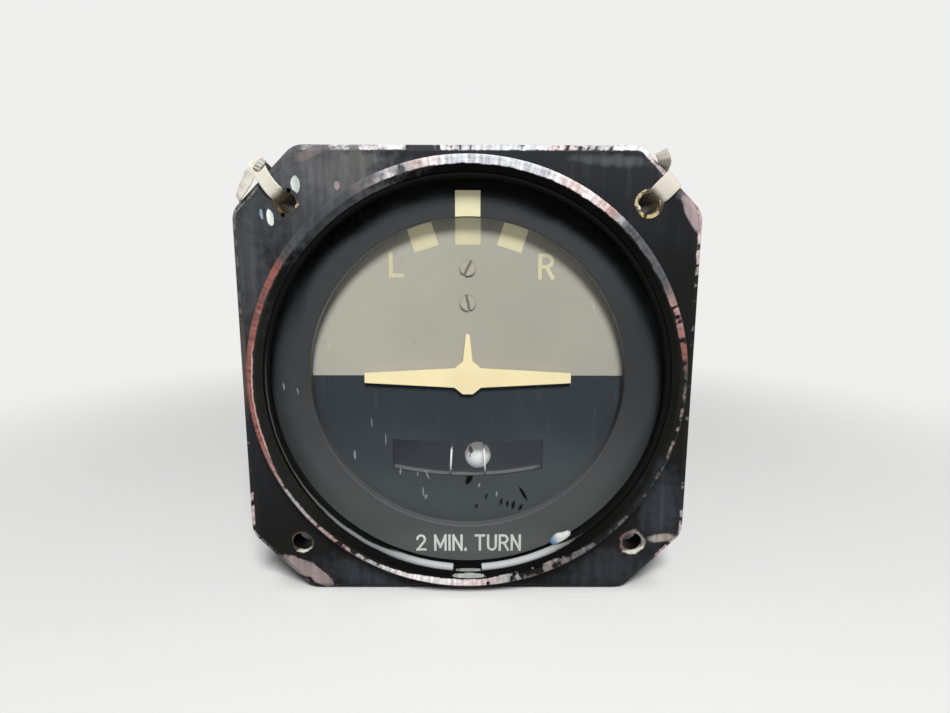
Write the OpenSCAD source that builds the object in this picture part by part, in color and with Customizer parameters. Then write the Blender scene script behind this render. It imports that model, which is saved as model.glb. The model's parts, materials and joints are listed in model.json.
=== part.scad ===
// Aircraft turn and slip indicator: a flanged panel instrument with a tilting horizon disc,
// a fixed miniature aircraft, a ball inclinometer and an electric rate gyro in a round case.
// Millimetres. X is to the right, Y runs from the front into the case, Z is up.
// The origin is the centre of the flange's front face, on the axis of the dial.

/* [Flange] */
// Width across the flats of the square mounting flange
flange_w = 82.55; // [80:0.05:90]
// Thickness of the flange
flange_t = 4.76; // [3.6:0.02:6]
// Depth of the bevel round the front edge of the flange
flange_bevel = 1.2; // [0.4:0.1:2]
// Length of each leg of the cut corners
corner_cut = 11.2; // [9:0.1:13]
// Radius that blends each cut corner into the sides
corner_r = 4; // [1:0.5:6]
// Distance of the four mounting holes from the flats of the flange
hole_inset = 9.84; // [9:0.02:10.4]
// Clear diameter of the four mounting holes
hole_d = 3.7; // [3.2:0.1:4.2]
// Outside diameter of the split brass nuts in the two upper holes
nut_od = 5; // [4.7:0.1:5.6]
// Length of the brass nuts, which reach behind the flange
nut_len = 12.2; // [8:0.1:13]
// Width of the saw cut across each brass nut
nut_split = 0.7; // [0.4:0.1:1.2]
// Width of the lacing tape tied through the upper nuts
tape_w = 2.4; // [1.6:0.1:3]
// Thickness of the lacing tape
tape_t = 0.35; // [0.2:0.05:0.5]

/* [Rim and glass] */
// Outside diameter of the raised rim, which enters the hole in the panel
rim_od = 78.7; // [77:0.1:80]
// Height of the rim in front of the flange
rim_h = 2.5; // [2.2:0.1:4]
// Radius of the fillet between the rim and the flange
rim_fillet = 0.5; // [0.2:0.1:0.6]
// Width of the flat front of the rim
rim_flat = 1.65; // [1:0.05:1.9]
// Diameter of the cover glass
glass_d = 73; // [71:0.1:74]
// Thickness of the cover glass
glass_t = 2.4; // [1.6:0.1:3.2]
// Distance of the glass in front of the flange's front face
glass_proud = 0.2; // [0:0.1:0.6]
// Diameter of the wire of the snap ring
snap_wire_d = 1.4; // [1:0.1:1.6]
// Width of the gap between the ends of the snap ring
snap_gap = 5.5; // [3:0.5:10]
// Opening of the dial mask
mask_bore = 58.4; // [54:0.1:62]
// Thickness of the dial mask
mask_t = 2; // [1:0.1:3]
// Thickness of the rubber ring behind the mask
gasket_t = 0.8; // [0.5:0.1:1.5]
// Width of the ledge that the rubber ring sits on
ledge_w = 2.4; // [1.8:0.1:3]

/* [Horizon disc and aircraft] */
// Diameter of the tilting horizon disc
disc_d = 67; // [62:0.5:67.4]
// Thickness of the horizon disc
disc_t = 0.8; // [0.5:0.1:1.2]
// Gap between the mask and the horizon disc
disc_gap = 0.7; // [0.5:0.1:1.5]
// Greatest tilt of the horizon disc to either side
tilt_limit = 24; // [15:1:28]
// Width of the inclinometer window in the disc
window_w = 29; // [24:0.5:31]
// Height of the window at its middle
window_h = 7.1; // [6:0.1:8]
// Height of the window's middle below the dial axis
window_drop = 16.65; // [15.6:0.05:17.6]
// Wing span of the miniature aircraft
span = 38.9; // [30:0.1:44]
// Depth of the wing at its root
root_chord = 3.65; // [2.5:0.05:4.5]
// Depth of the wing at its tip
tip_chord = 1.85; // [1:0.05:2.5]
// Height of the aircraft's fin above the middle of the wing
fin_h = 8.3; // [6:0.1:10]
// Thickness of the aircraft symbol
symbol_t = 0.5; // [0.3:0.05:0.6]
// Diameter of the post that carries the aircraft
post_d = 1.6; // [1.2:0.1:2]

/* [Inclinometer] */
// Diameter of the slip ball
ball_d = 5.2; // [4.6:0.1:5.6]
// Play between the ball and the bore of its tube, measured on the diameter
ball_play = 0.4; // [0.2:0.05:0.6]
// Wall of the glass tube
tube_wall = 0.6; // [0.4:0.05:0.8]
// Radius of the tube's curve
curve_r = 60; // [56:1:90]
// Half of the angle that the tube spans
tube_half = 17.5; // [16.5:0.5:18]
// Height of the lowest point of the tube's centre line below the dial axis
tube_drop = 17.5; // [17:0.1:18]
// Angle at which the ball lies, to the right of the middle
ball_rest = 1.9; // [0:0.1:6]
// Distance of each index wire from the middle of the tube
index_x = 3.3; // [3:0.1:4.5]
// Diameter of the index wires
index_wire_d = 0.4; // [0.3:0.05:0.5]

/* [Gyro] */
// Diameter of the gyro rotor
rotor_d = 42; // [36:0.5:44]
// Width of the gyro rotor
rotor_w = 22; // [18:0.5:24]
// Radial depth of the rotor's heavy rim
rotor_rim = 6; // [4:0.5:7]
// Diameter of the rotor shaft and of the gimbal pivots
shaft_d = 3; // [2.5:0.1:3.4]
// Outside diameter of the ball bearings
bearing_od = 8; // [7:0.5:9]
// Width of the ball bearings
bearing_w = 3; // [2:0.5:3]
// Depth of the gimbal's end bars
gimbal_bar = 5; // [4:0.5:6]
// Height of the gimbal frame
gimbal_h = 12; // [10:0.5:13]
// Thickness of the front and rear frame plates
plate_t = 3; // [2.5:0.1:4]
// Diameter of the four frame pillars
pillar_d = 5; // [4:0.5:5.5]
// Diameter of the circle that the pillars stand on
pillar_circle = 64; // [62:0.5:65]
// Distance of the dashpot's pin from the gimbal axis
dash_arm = 10; // [9:0.5:12]
// Outside diameter of the dashpot cylinder
dash_od = 8.4; // [8:0.1:9]
// Wall of the dashpot cylinder
dash_wall = 0.7; // [0.5:0.1:1]
// Wire diameter of the centring spring
spring_wire = 0.5; // [0.3:0.05:0.6]
// Number of turns of the centring spring
spring_turns = 10; // [6:1:12]

/* [Case] */
// Outside diameter of the case
case_od = 76.2; // [76:0.1:77]
// Wall of the case
case_wall = 1.2; // [0.8:0.1:1.3]
// Room behind the rear frame plate
rear_room = 14; // [12:0.5:30]
// Thickness of the rear cover
cover_t = 2; // [1.5:0.1:4]
// Outside diameter of the connector's threaded barrel
plug_od = 19.05; // [18:0.05:20]
// Wall of the connector's barrel
plug_wall = 1.7; // [1.2:0.1:2]
// Length of the connector's barrel
plug_len = 9.5; // [8:0.5:14]
// Width of the connector's square flange
plug_flange = 27.8; // [26:0.2:30]

/* [Hidden] */
$fn = 96;
skin = 0.02;
running = 0.03;
slip = 0.1;
free_gap = 0.4;

// Front stack: radii and depths along Y
half_w = flange_w / 2;
hole_at = half_w - hole_inset;
rim_r = rim_od / 2;
rim_edge = 0.35;
bevel_mid = [0.3, 0.35];
bevel_in = flange_bevel * bevel_mid[0];
bevel_y = flange_bevel * bevel_mid[1];
glass_r = glass_d / 2;
glass_y = -glass_proud;
bore_r = glass_r + slip;
snap_depth = 0.35;
groove_r = bore_r + snap_depth;
snap_r = groove_r - snap_wire_d / 2 - running;
snap_y = glass_y - snap_wire_d / 2;
groove_y0 = snap_y - snap_wire_d / 2 - 0.05;
lip_y = groove_y0 - 0.15;
mask_y = glass_y + glass_t;
gasket_y = mask_y + mask_t;
ledge_y = gasket_y + gasket_t;
ledge_r = bore_r - ledge_w;
mask_r = bore_r - 2 * slip;
disc_y = gasket_y + disc_gap;
disc_back = disc_y + disc_t;

// Aircraft symbol and its post
symbol_back = disc_y - free_gap;
symbol_y = symbol_back - symbol_t;
symbol_z = -0.36;
shoulder_x = 2.5;
shoulder_rise = 3.2;
fin_root = 1.8;
fin_tip = 0.66;
belly_w = 1.92;
belly_drop = 3.1;
post_collar_d = 4;
post_collar_t = 1.8;
post_seat = 1.4;
disc_hole_d = post_d + 1.8;

// Tapes in the upper nuts: free ends above and below each loop, and the angle of the nut's saw cut
left_ends = [4, 5.8];
right_ends = [5, 2];
nut_turn = 106;
nut_collar_d = nut_od + 2;
nut_collar_t = 1.2;

// Two screws that hold the disc on its arm: height above the axis and angle of the slot
disc_screw_z = [20.25, 13.85];
disc_screw_turn = [-32, 12];
disc_screw_d = 2;
disc_head_d = 3;
disc_head_h = 0.35;
disc_slot_w = 0.5;

// Inclinometer
tube_bore = ball_d + ball_play;
tube_od = tube_bore + 2 * tube_wall;
clip_t = 0.4;
clip_w = 2.6;
clip_at = tube_half - 1.5;
clip_foot = 3.2;
tube_y = disc_back + free_gap + clip_t + tube_od / 2;
curve_z = curve_r - tube_drop;
plug_angle = 1.8;
ball_limit = tube_half - plug_angle - asin(ball_d / 2 / curve_r) - 0.1;
index_angle = asin(index_x / curve_r);
cradle_t = 0.6;
cradle_half = tube_half - 4;
window_top_r = 190;
window_low_r = 66;

// Frame plates, gimbal and rotor
plate_y = tube_y + tube_od / 2 + max(clip_t, index_wire_d) + slip;
plate_back = plate_y + plate_t;
spigot_r = case_od / 2 - case_wall - slip;
plate_r = spigot_r - 0.6;
plate_screw_r = (spigot_r + ledge_r) / 2 - 0.25;
boss_r = bearing_od / 2 + 3;
boss_y = plate_back + bearing_w;
gimbal_y0 = boss_y + 1;
rotor_gap = 1.5;
gimbal_y1 = gimbal_y0 + rotor_d + 2 * (rotor_gap + gimbal_bar);
rotor_y = (gimbal_y0 + gimbal_y1) / 2;
side_gap = 2;
side_bar = 5.5;
gimbal_in = rotor_w / 2 + side_gap;
gimbal_out = gimbal_in + side_bar;
gimbal_round = 3;
arm_w = 7;
arm_t = 2;
arm_z = 16.5;
arm_end = 2.75;
arm_half = asin(arm_w / 2 / arm_z);
slot_in = arm_z - 0.6;
slot_out = norm([arm_w / 2, arm_z + arm_t]) + 0.6;
slot_half = tilt_limit + arm_half + 2;
web_x = 3;
web_t = 4;
hub_r = 4;
commutator_r = 5;
magnet_gap = 1.6;
brush_plate_t = 0.8;
brush_plate_x = gimbal_in - brush_plate_t;
brush_x = (web_x + web_t + brush_plate_x) / 2 + free_gap;
brush_w = 2.4;
brush_len = 5;
holder_wall = 0.6;
holder_len = 5.6;
cap_t = 0.8;

// Dashpot, centring spring and rear plate
dash_y = gimbal_y1 + free_gap + dash_od / 2;
dash_top = -13;
dash_bottom = -30;
dash_floor = 1;
dash_pin_d = 2;
piston_z = -21.5;
piston_len = 4;
piston_rod_d = 1.8;
yoke_w = 7.4;
yoke_h = 4.6;
yoke_t = 3.6;
yoke_play = 0.17;
rear_plate_y = dash_y + dash_od / 2 + 0.3;
rear_plate_back = rear_plate_y + plate_t;
spring_y = dash_y;
spring_top = -8.6;
spring_low = -29;
spring_r = 1.75;
hook_pin_d = 1.6;
hook_r = hook_pin_d / 2 + spring_wire / 2 + 0.15;
spring_lead = 3;
pillar_r = pillar_circle / 2;
pillar_reach = 6;
plate_reach = 2;

// Rear of the case
can_r = case_od / 2;
can_in = can_r - case_wall;
can_end = rear_plate_back + rear_room;
cover_gasket_t = 0.6;
cover_y = can_end + cover_gasket_t;
cover_back = cover_y + cover_t;
lug_d = 6;
lug_len = 8;
lug_r = can_in - lug_d / 2 + 0.4;
screw_d = 2.5;
screw_head_d = 4.6;
screw_head_h = 1.4;
screw_slot = 0.7;
small_screw_d = 1.6;
small_head_d = 2.8;
small_head_h = 1;
case_screw_y = (flange_t + plate_y) / 2;
plug_flange_t = 2;
plug_r = plug_od / 2;
plug_bore_r = plug_r - plug_wall;
plug_tail_r = plug_bore_r + 0.9;
plug_tail = 6;
plug_pitch = 20.6;
plug_y = cover_back + plug_flange_t;
plug_end = plug_y + plug_len;
insert_front = plug_y + 0.6;
pin_d = 1.6;
pin_x = 3.8;
pin_tip = plug_end - 1.5;
board_gap = 4;
board_t = 1.6;
board_w = 30;
board_h = 14;
board_z = -13;
board_y = rear_plate_back + board_gap;
standoff_d = 4;
standoff_x = board_w / 2 - standoff_d;
terminal_pitch = 6;
capacitor_d = 9;
capacitor_len = 18;
capacitor_z = 14;
strap_t = 0.5;
strap_w = 5;
capacitor_y = rear_plate_back + strap_t + capacitor_d / 2;

// Plain helpers
function unit(v) = v / norm(v);

// Points of an arc about c, from angle a0 to a1
function arc(c, r, a0, a1, n) =
    [for (i = [0:n]) let(a = a0 + (a1 - a0) * i / n) c + r * [cos(a), sin(a)]];

// The arc that rounds corner p between its neighbours a and b, going anticlockwise
function round_corner(a, p, b, r, n) =
    let(u = unit(a - p), w = unit(b - p), half = acos(u * w) / 2)
    let(c = p + unit(u + w) * r / sin(half), s = p + u * r / tan(half) - c)
    let(a0 = atan2(s[1], s[0]))
    arc(c, r, a0, a0 + 180 - 2 * half, n);

function rounded(pts, r, n) =
    let(k = len(pts))
    [for (i = [0:k - 1]) each round_corner(pts[(i + k - 1) % k], pts[i], pts[(i + 1) % k], r, n)];

// Front-view outline of the flange, drawn in from its edge by inset
function flange_outline(inset) =
    let(h = half_w - inset, c = flange_w - corner_cut - inset * sqrt(2) - h)
    rounded([[h, -c], [h, c], [c, h], [-c, h], [-h, c], [-h, -c], [-c, -h], [c, -h]], corner_r, 6);

// Extrudes a front-view outline from depth y0 to depth y1
module slab(y0, y1) {
    translate([0, y1, 0]) rotate([90, 0, 0]) linear_extrude(y1 - y0) children();
}

// Revolves an outline of (radius, depth) points about the dial axis
module turned(pts) {
    rotate([-90, 0, 0]) rotate_extrude() polygon(pts);
}

// A round bar along Y
module rod(d, y0, y1, x = 0, z = 0) {
    translate([x, y0, z]) rotate([-90, 0, 0]) cylinder(d = d, h = y1 - y0);
}

// A round bar along X, centred on the rotor's axis
module axle(d, x0, x1) {
    translate([x0, rotor_y, 0]) rotate([0, 90, 0]) cylinder(d = d, h = x1 - x0);
}

// A ring along Y
module ring(od, id, y0, y1) {
    difference() {
        rod(od, y0, y1);
        rod(id, y0 - 1, y1 + 1);
    }
}

// A ring along X on the rotor's axis
module axle_ring(od, id, x0, x1) {
    difference() {
        axle(od, x0, x1);
        axle(id, x0 - 1, x1 + 1);
    }
}

// A cheese-head screw along Z: the head stands on the plane z = 0 and the shank goes down from it
module screw(d, head_d, head_h, length, turn = 0) {
    difference() {
        union() {
            cylinder(d = head_d, h = head_h);
            translate([0, 0, -length]) cylinder(d = d, h = length + skin);
        }
        rotate([0, 0, turn]) translate([-head_d, -screw_slot / 2, head_h * 0.5])
            cube([2 * head_d, screw_slot, head_h]);
    }
}

// Carries a profile along the inclinometer's curve, from angle a0 to a1 about straight down
module along_tube(a0, a1) {
    translate([0, tube_y, curve_z]) rotate([90, 0, 0]) rotate([0, 0, 270 + a0])
        rotate_extrude(angle = a1 - a0) translate([curve_r, 0]) children();
}

// Places children at an angle along the inclinometer's curve, local X pointing away from its centre
module at_tube(a) {
    translate([0, tube_y, curve_z]) rotate([90, 0, 0]) rotate([0, 0, 270 + a])
        translate([curve_r, 0, 0]) children();
}

// Repeats children at the four corners of a square of the given pitch, in the front view
module corners(pitch) {
    for (x = [-1, 1], z = [-1, 1]) translate([x * pitch / 2, 0, z * pitch / 2]) children();
}

// Repeats children round the dial axis at 45, 135, 225 and 315 degrees
module quarters() {
    for (a = [45:90:315]) rotate([0, -a, 0]) children();
}

// Flange, rim and spigot in one casting
module front_bezel() {
    color("#1c1c1e") difference() {
        union() {
            difference() {
                union() {
                    hull() {
                        slab(0, skin) polygon(flange_outline(flange_bevel));
                        slab(bevel_y, bevel_y + skin) polygon(flange_outline(bevel_in));
                        slab(flange_bevel, flange_bevel + skin) polygon(flange_outline(0));
                    }
                    slab(flange_bevel, flange_t) polygon(flange_outline(0));
                }
                rod(2 * (bore_r + slip), -1, flange_t + 1);
            }
            turned(concat(
                [[rim_r - rim_edge, -rim_h], [rim_r, rim_edge - rim_h]],
                arc([rim_r + rim_fillet, -rim_fillet], rim_fillet, 180, 90, 6),
                [[rim_r + rim_fillet, flange_t / 2], [spigot_r, flange_t / 2]],
                [[spigot_r, plate_y], [ledge_r, plate_y], [ledge_r, ledge_y], [bore_r, ledge_y]],
                [[bore_r, glass_y], [groove_r, glass_y], [groove_r, groove_y0], [bore_r, groove_y0]],
                [[bore_r, lip_y], [rim_r - rim_flat, -rim_h]]
            ));
        }
        for (x = [-1, 1]) {
            rod(hole_d, -1, flange_t + 1, x * hole_at, -hole_at);
            rod(nut_od + 2 * skin, -1, flange_t + 1, x * hole_at, hole_at);
        }
        quarters() translate([ledge_r - 1, case_screw_y, 0]) rotate([0, 90, 0])
            cylinder(d = small_screw_d, h = 2 * ledge_w);
        plate_screw_places() rod(small_screw_d, plate_y - plate_reach - 1, plate_y + 1);
    }
}

// Split brass nuts, flush with the flange in front and held by a collar behind it
module mounting_nuts() {
    color("#b08a3c") for (x = [-1, 1]) translate([x * hole_at, 0, hole_at]) difference() {
        union() {
            rod(nut_od, 0, nut_len);
            rod(nut_collar_d, flange_t + skin, flange_t + nut_collar_t);
        }
        rod(hole_d, -1, nut_len + 1);
        rotate([0, nut_turn, 0]) translate([-nut_od, -1, -nut_split / 2])
            cube([2 * nut_od, flange_t / 2 + 1, nut_split]);
    }
}

// Lacing tape: a loop through an upper nut and over the cut corner, with its free ends along the corner.
// side is 1 on the right and -1 on the left. ends are the lengths of the free ends above and below.
module tie(side, ends) {
    edge = (flange_w - corner_cut) / sqrt(2) - hole_at * sqrt(2) + running;
    in_r = hole_d / 2 - tape_t - running;
    top = -skin;
    back = nut_len + skin;
    nut_r = nut_od / 2 + running;
    lean = tape_t * 0.7;
    loop = [
        [in_r, top - tape_t], [edge - flange_bevel, top - tape_t],
        [edge - bevel_in + lean, bevel_y + top - lean], [edge + tape_t, flange_bevel],
        [edge + tape_t, flange_t + lean], [nut_r + tape_t, back + lean], [nut_r, back + tape_t],
        [in_r, back + tape_t], [in_r, back], [nut_r, back], [edge, flange_t + skin],
        [edge, flange_bevel], [edge - bevel_in, bevel_y + top], [edge - flange_bevel, top], [in_r, top]
    ];
    translate([side * hole_at, 0, hole_at]) rotate([0, side == 1 ? -45 : -135, 0]) {
        translate([0, 0, -tape_w / 2]) linear_extrude(tape_w) polygon(loop);
        intersection() {
            rotate([-90, 0, 0]) difference() {
                translate([0, 0, top - tape_t])
                    cylinder(r = hole_d / 2 - running, h = back - top + 2 * tape_t);
                translate([0, 0, -2]) cylinder(r = in_r, h = nut_len + 4);
            }
            translate([0, top - tape_t, -tape_w / 2]) cube([hole_d, back - top + 2 * tape_t, tape_w]);
        }
        translate([edge - tape_w, top - 2 * tape_t, side == 1 ? -ends[1] : -ends[0]])
            cube([tape_w, tape_t + skin, ends[0] + ends[1]]);
    }
}

module left_tie() { color("#e6e0cf") tie(-1, left_ends); }

module right_tie() { color("#e6e0cf") tie(1, right_ends); }

// Sprung wire that holds the glass, open at the bottom
module snap_ring() {
    half = asin(snap_gap / 2 / snap_r);
    color("#8d9094") translate([0, snap_y, 0]) rotate([90, 0, 0]) rotate([0, 0, 270 + half])
        rotate_extrude(angle = 360 - 2 * half) translate([snap_r, 0]) circle(d = snap_wire_d, $fn = 32);
}

module cover_glass() {
    color("#cfe0e033") rod(glass_d, glass_y, mask_y);
}

module dial_mask() {
    edge = 0.15;
    bore = mask_bore / 2;
    color("#2a2b2e") turned([
        [bore + edge, mask_y], [mask_r, mask_y], [mask_r, gasket_y], [bore, gasket_y], [bore, mask_y + edge]
    ]);
}

module mask_gasket() {
    color("#151515") ring(2 * mask_r, 2 * (ledge_r + slip), gasket_y, ledge_y);
}

// Smile-shaped window: a nearly straight top edge over a rounder lower edge
module window_outline() {
    w = window_w / 2;
    top = -window_drop + window_h / 2;
    low = -window_drop - window_h / 2;
    a_top = asin(w / window_top_r);
    a_low = asin(w / window_low_r);
    polygon(concat(
        arc([0, top + window_top_r], window_top_r, 270 + a_top, 270 - a_top, 8),
        arc([0, low + window_low_r], window_low_r, 270 - a_low, 270 + a_low, 16)
    ));
}

// Horizon disc, which tilts with the gimbal
module turn_disc() {
    color("#6f7072") slab(disc_y, disc_back) difference() {
        circle(d = disc_d);
        circle(d = disc_hole_d);
        window_outline();
        for (z = disc_screw_z) translate([0, z]) circle(d = disc_screw_d + 2 * running);
    }
}

module disc_screws() {
    color("#8f8d84") for (i = [0:1]) translate([0, disc_y, disc_screw_z[i]]) difference() {
        union() {
            rod(disc_head_d, -disc_head_h, 0);
            rod(disc_screw_d, -skin, disc_t + arm_t);
        }
        rotate([0, disc_screw_turn[i], 0]) translate([-disc_slot_w / 2, -disc_head_h - 1, -disc_head_d])
            cube([disc_slot_w, 1 + disc_head_h * 0.6, 2 * disc_head_d]);
    }
}

// Bent strap from the top of the gimbal, forward through the front plate, to the back of the disc
module disc_arm() {
    foot_z = gimbal_h / 2;
    low = disc_screw_z[1] - arm_end;
    high = disc_screw_z[0] + arm_end;
    side_view = [
        [disc_back, low], [disc_back + arm_t, low], [disc_back + arm_t, arm_z], [gimbal_y0, arm_z],
        [gimbal_y0, foot_z], [gimbal_y0 + gimbal_bar, foot_z], [gimbal_y0 + gimbal_bar, foot_z + arm_t],
        [gimbal_y0 + arm_t, foot_z + arm_t], [gimbal_y0 + arm_t, arm_z + arm_t],
        [disc_back + arm_t, arm_z + arm_t], [disc_back + arm_t, high], [disc_back, high]
    ];
    color("#9a9c9f") difference() {
        translate([-arm_w / 2, 0, 0]) rotate([90, 0, 90]) linear_extrude(arm_w) polygon(side_view);
        for (z = disc_screw_z) rod(disc_screw_d + 2 * running, disc_back - 1, disc_back + arm_t + 1, 0, z);
    }
}

// Rear view of a small aeroplane: tapered wing, short body and a tall fin
module aircraft_symbol() {
    right = [
        [belly_w / 2, -belly_drop], [shoulder_x, -root_chord / 2], [span / 2, -tip_chord / 2],
        [span / 2, tip_chord / 2], [shoulder_x, root_chord / 2], [fin_root / 2, shoulder_rise],
        [fin_tip / 2, fin_h]
    ];
    left = [for (i = [len(right) - 1:-1:0]) [-right[i][0], right[i][1]]];
    color("#efdcb0") slab(symbol_y, symbol_back) translate([0, symbol_z]) polygon(concat(right, left));
}

// Fixed post that passes through the middle of the disc
module symbol_post() {
    color("#b9bbbe") {
        rod(post_d, symbol_back, plate_y + post_seat);
        rod(post_collar_d, plate_y - post_collar_t, plate_y);
    }
}

module inclinometer_tube() {
    color("#c8d8d855") along_tube(-tube_half, tube_half) difference() {
        circle(d = tube_od);
        circle(d = tube_bore);
    }
}

module tube_plugs() {
    color("#3a3a3c") for (a = [-tube_half, tube_half - plug_angle])
        along_tube(a, a + plug_angle) circle(d = tube_bore - 2 * skin);
}

// Two white wires round the tube, one each side of the ball's centre place
module tube_index_wires() {
    color("#eeeeea") for (s = [-1, 1]) at_tube(s * index_angle) rotate([90, 0, 0]) rotate_extrude()
        translate([tube_od / 2 + index_wire_d / 2 + skin, 0]) circle(d = index_wire_d, $fn = 24);
}

// Curved ledge under the tube, standing out from the front plate
module tube_cradle() {
    reach = plate_y - disc_back - free_gap;
    color("#4a4c4f") along_tube(-cradle_half, cradle_half)
        translate([tube_od / 2 + index_wire_d + slip, tube_y - plate_y]) square([cradle_t, reach]);
}

// Straps over both ends of the tube, with a foot above and below on the front plate
module tube_clips() {
    depth = plate_y - tube_y;
    color("#808285") for (s = [-1, 1]) at_tube(s * clip_at) rotate([90, 0, 0]) translate([0, 0, -clip_w / 2])
        linear_extrude(clip_w) difference() {
            union() {
                circle(d = tube_od + 2 * clip_t);
                translate([-tube_od / 2 - clip_foot, -depth]) square([tube_od + 2 * clip_foot, clip_t]);
                translate([-tube_od / 2 - clip_t, -depth]) square([tube_od + 2 * clip_t, depth]);
            }
            circle(d = tube_od + 2 * skin);
            translate([-tube_od / 2 - skin, -depth - 1]) square([tube_od + 2 * skin, depth + 1]);
        }
}

module slip_ball() {
    color("#f2f1ec") at_tube(ball_rest) sphere(d = ball_d);
}

module plate_screw_places() {
    for (a = [0:90:270]) rotate([0, a, 0]) translate([plate_screw_r, 0, 0]) children();
}

// Front frame plate: an arc slot for the disc's arm and a boss for the front gimbal bearing
module front_plate() {
    far = 2 * slot_out * [sin(slot_half), cos(slot_half)];
    color("#a3a6aa") difference() {
        union() {
            slab(plate_y, plate_back) difference() {
                circle(r = plate_r);
                intersection() {
                    difference() {
                        circle(r = slot_out);
                        circle(r = slot_in);
                    }
                    polygon([[0, 0], far, [0, 2 * slot_out], [-far[0], far[1]]]);
                }
            }
            rod(2 * boss_r, plate_back - skin, boss_y);
        }
        rod(bearing_od + 2 * skin, boss_y - bearing_w, boss_y + 1);
        rod(post_d, plate_y - 1, plate_y + post_seat);
        plate_screw_places() rod(small_screw_d, plate_y - 1, plate_back + 1);
    }
}

module front_plate_screws() {
    color("#b4b6b8") plate_screw_places() translate([0, plate_back, 0]) rotate([-90, 0, 0])
        screw(small_screw_d - 2 * skin, small_head_d, small_head_h, plate_t + plate_reach);
}

module frame_pillars() {
    color("#b0b2b5") quarters() translate([pillar_r, 0, 0]) difference() {
        rod(pillar_d, plate_back, rear_plate_y);
        rod(screw_d, rear_plate_y - pillar_reach - 2, rear_plate_y + 1);
    }
}

module rear_plate() {
    color("#a3a6aa") difference() {
        rod(2 * plate_r, rear_plate_y, rear_plate_back);
        rod(bearing_od + 2 * skin, rear_plate_y - 1, rear_plate_back + 1);
        quarters() rod(screw_d, rear_plate_y - 1, rear_plate_back + 1, pillar_r, 0);
    }
}

module rear_plate_screws() {
    color("#b4b6b8") quarters() translate([pillar_r, rear_plate_back, 0]) rotate([-90, 0, 0])
        screw(screw_d - 2 * skin, screw_head_d, screw_head_h, plate_t + pillar_reach);
}

// Gimbal: a rectangular frame round the rotor, with a lug and pin for the spring and a pin for the dashpot
module gimbal_frame() {
    outer = rounded([
        [gimbal_out, gimbal_y0], [gimbal_out, gimbal_y1], [-gimbal_out, gimbal_y1], [-gimbal_out, gimbal_y0]
    ], gimbal_round, 6);
    lug_w = 5;
    color("#8e9296") difference() {
        union() {
            translate([0, 0, -gimbal_h / 2]) linear_extrude(gimbal_h) difference() {
                polygon(outer);
                translate([-gimbal_in, gimbal_y0 + gimbal_bar])
                    square([2 * gimbal_in, gimbal_y1 - gimbal_y0 - 2 * gimbal_bar]);
            }
            translate([-lug_w / 2, gimbal_y1 - gimbal_bar, spring_top - hook_pin_d])
                cube([lug_w, gimbal_bar, -spring_top + hook_pin_d - gimbal_h / 2 + skin]);
            rod(hook_pin_d, gimbal_y1 - skin, spring_y + spring_r, 0, spring_top);
            rod(dash_pin_d, gimbal_y1 - skin, dash_y + yoke_t / 2, dash_arm, 0);
        }
        axle(bearing_od + 2 * skin, -gimbal_out - 1, gimbal_out + 1);
        rod(shaft_d, gimbal_y0 - 1, gimbal_y0 + gimbal_bar + 1);
        rod(shaft_d, gimbal_y1 - gimbal_bar - 1, gimbal_y1 + 1);
    }
}

module gimbal_pivots() {
    color("#c4c6c8") {
        rod(shaft_d - 2 * running, boss_y - bearing_w + 0.2, gimbal_y0 + gimbal_bar);
        rod(shaft_d - 2 * running, gimbal_y1 - gimbal_bar, rear_plate_back - 0.2);
    }
}

module gimbal_bearings() {
    color("#c9cbcd") {
        ring(bearing_od, shaft_d, boss_y - bearing_w, boss_y);
        ring(bearing_od, shaft_d, rear_plate_y, rear_plate_y + bearing_w);
    }
}

// Rotor: a heavy rim joined by a web to a hub, hollow on both sides
module gyro_rotor() {
    r = rotor_d / 2;
    h = rotor_w / 2;
    edge = 0.8;
    color("#a8883f") translate([0, rotor_y, 0]) rotate([0, 90, 0]) rotate_extrude() polygon([
        [shaft_d / 2, -web_x], [hub_r, -web_x], [hub_r, web_x], [r - rotor_rim, web_x], [r - rotor_rim, -h],
        [r - edge, -h], [r, edge - h], [r, h - edge], [r - edge, h], [r - rotor_rim, h],
        [r - rotor_rim, web_x + web_t], [shaft_d / 2, web_x + web_t]
    ]);
}

module rotor_shaft() {
    color("#c4c6c8") axle(shaft_d - 2 * running, -gimbal_out + 1, gimbal_out - 1);
}

module rotor_bearings() {
    color("#c9cbcd") for (s = [0, 1]) mirror([s, 0, 0])
        axle_ring(bearing_od, shaft_d, gimbal_out - bearing_w - 1, gimbal_out - 1);
}

module bearing_caps() {
    color("#8e9296") for (s = [0, 1]) mirror([s, 0, 0]) {
        axle(bearing_od + 3, gimbal_out, gimbal_out + cap_t);
        axle_ring(bearing_od, bearing_od - 1.6, gimbal_out - 1, gimbal_out + skin);
    }
}

module commutator() {
    color("#b87333") axle_ring(2 * commutator_r, shaft_d, web_x + web_t, brush_plate_x - free_gap);
}

// Insulating plate on the inside of the gimbal's right-hand bar
module brush_plate() {
    color("#6b4a2b") axle_ring(rotor_d - 2 * rotor_rim - 4, bearing_od - 1, brush_plate_x, gimbal_in);
}

// Places a brush or its holder against the top or the bottom of the commutator
module brush_places() {
    for (s = [0, 1]) mirror([0, 0, s]) translate([brush_x, rotor_y, commutator_r + running]) children();
}

module brush_holders() {
    w = brush_w / 2 + holder_wall;
    color("#b79a4a") brush_places() translate([0, 0, 1.2]) difference() {
        translate([-w, -w, 0]) cube([brush_plate_x - brush_x + w, 2 * w, holder_len]);
        translate([-brush_w / 2 - skin, -brush_w / 2 - skin, -1])
            cube([brush_w + 2 * skin, brush_w + 2 * skin, holder_len]);
    }
}

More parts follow.
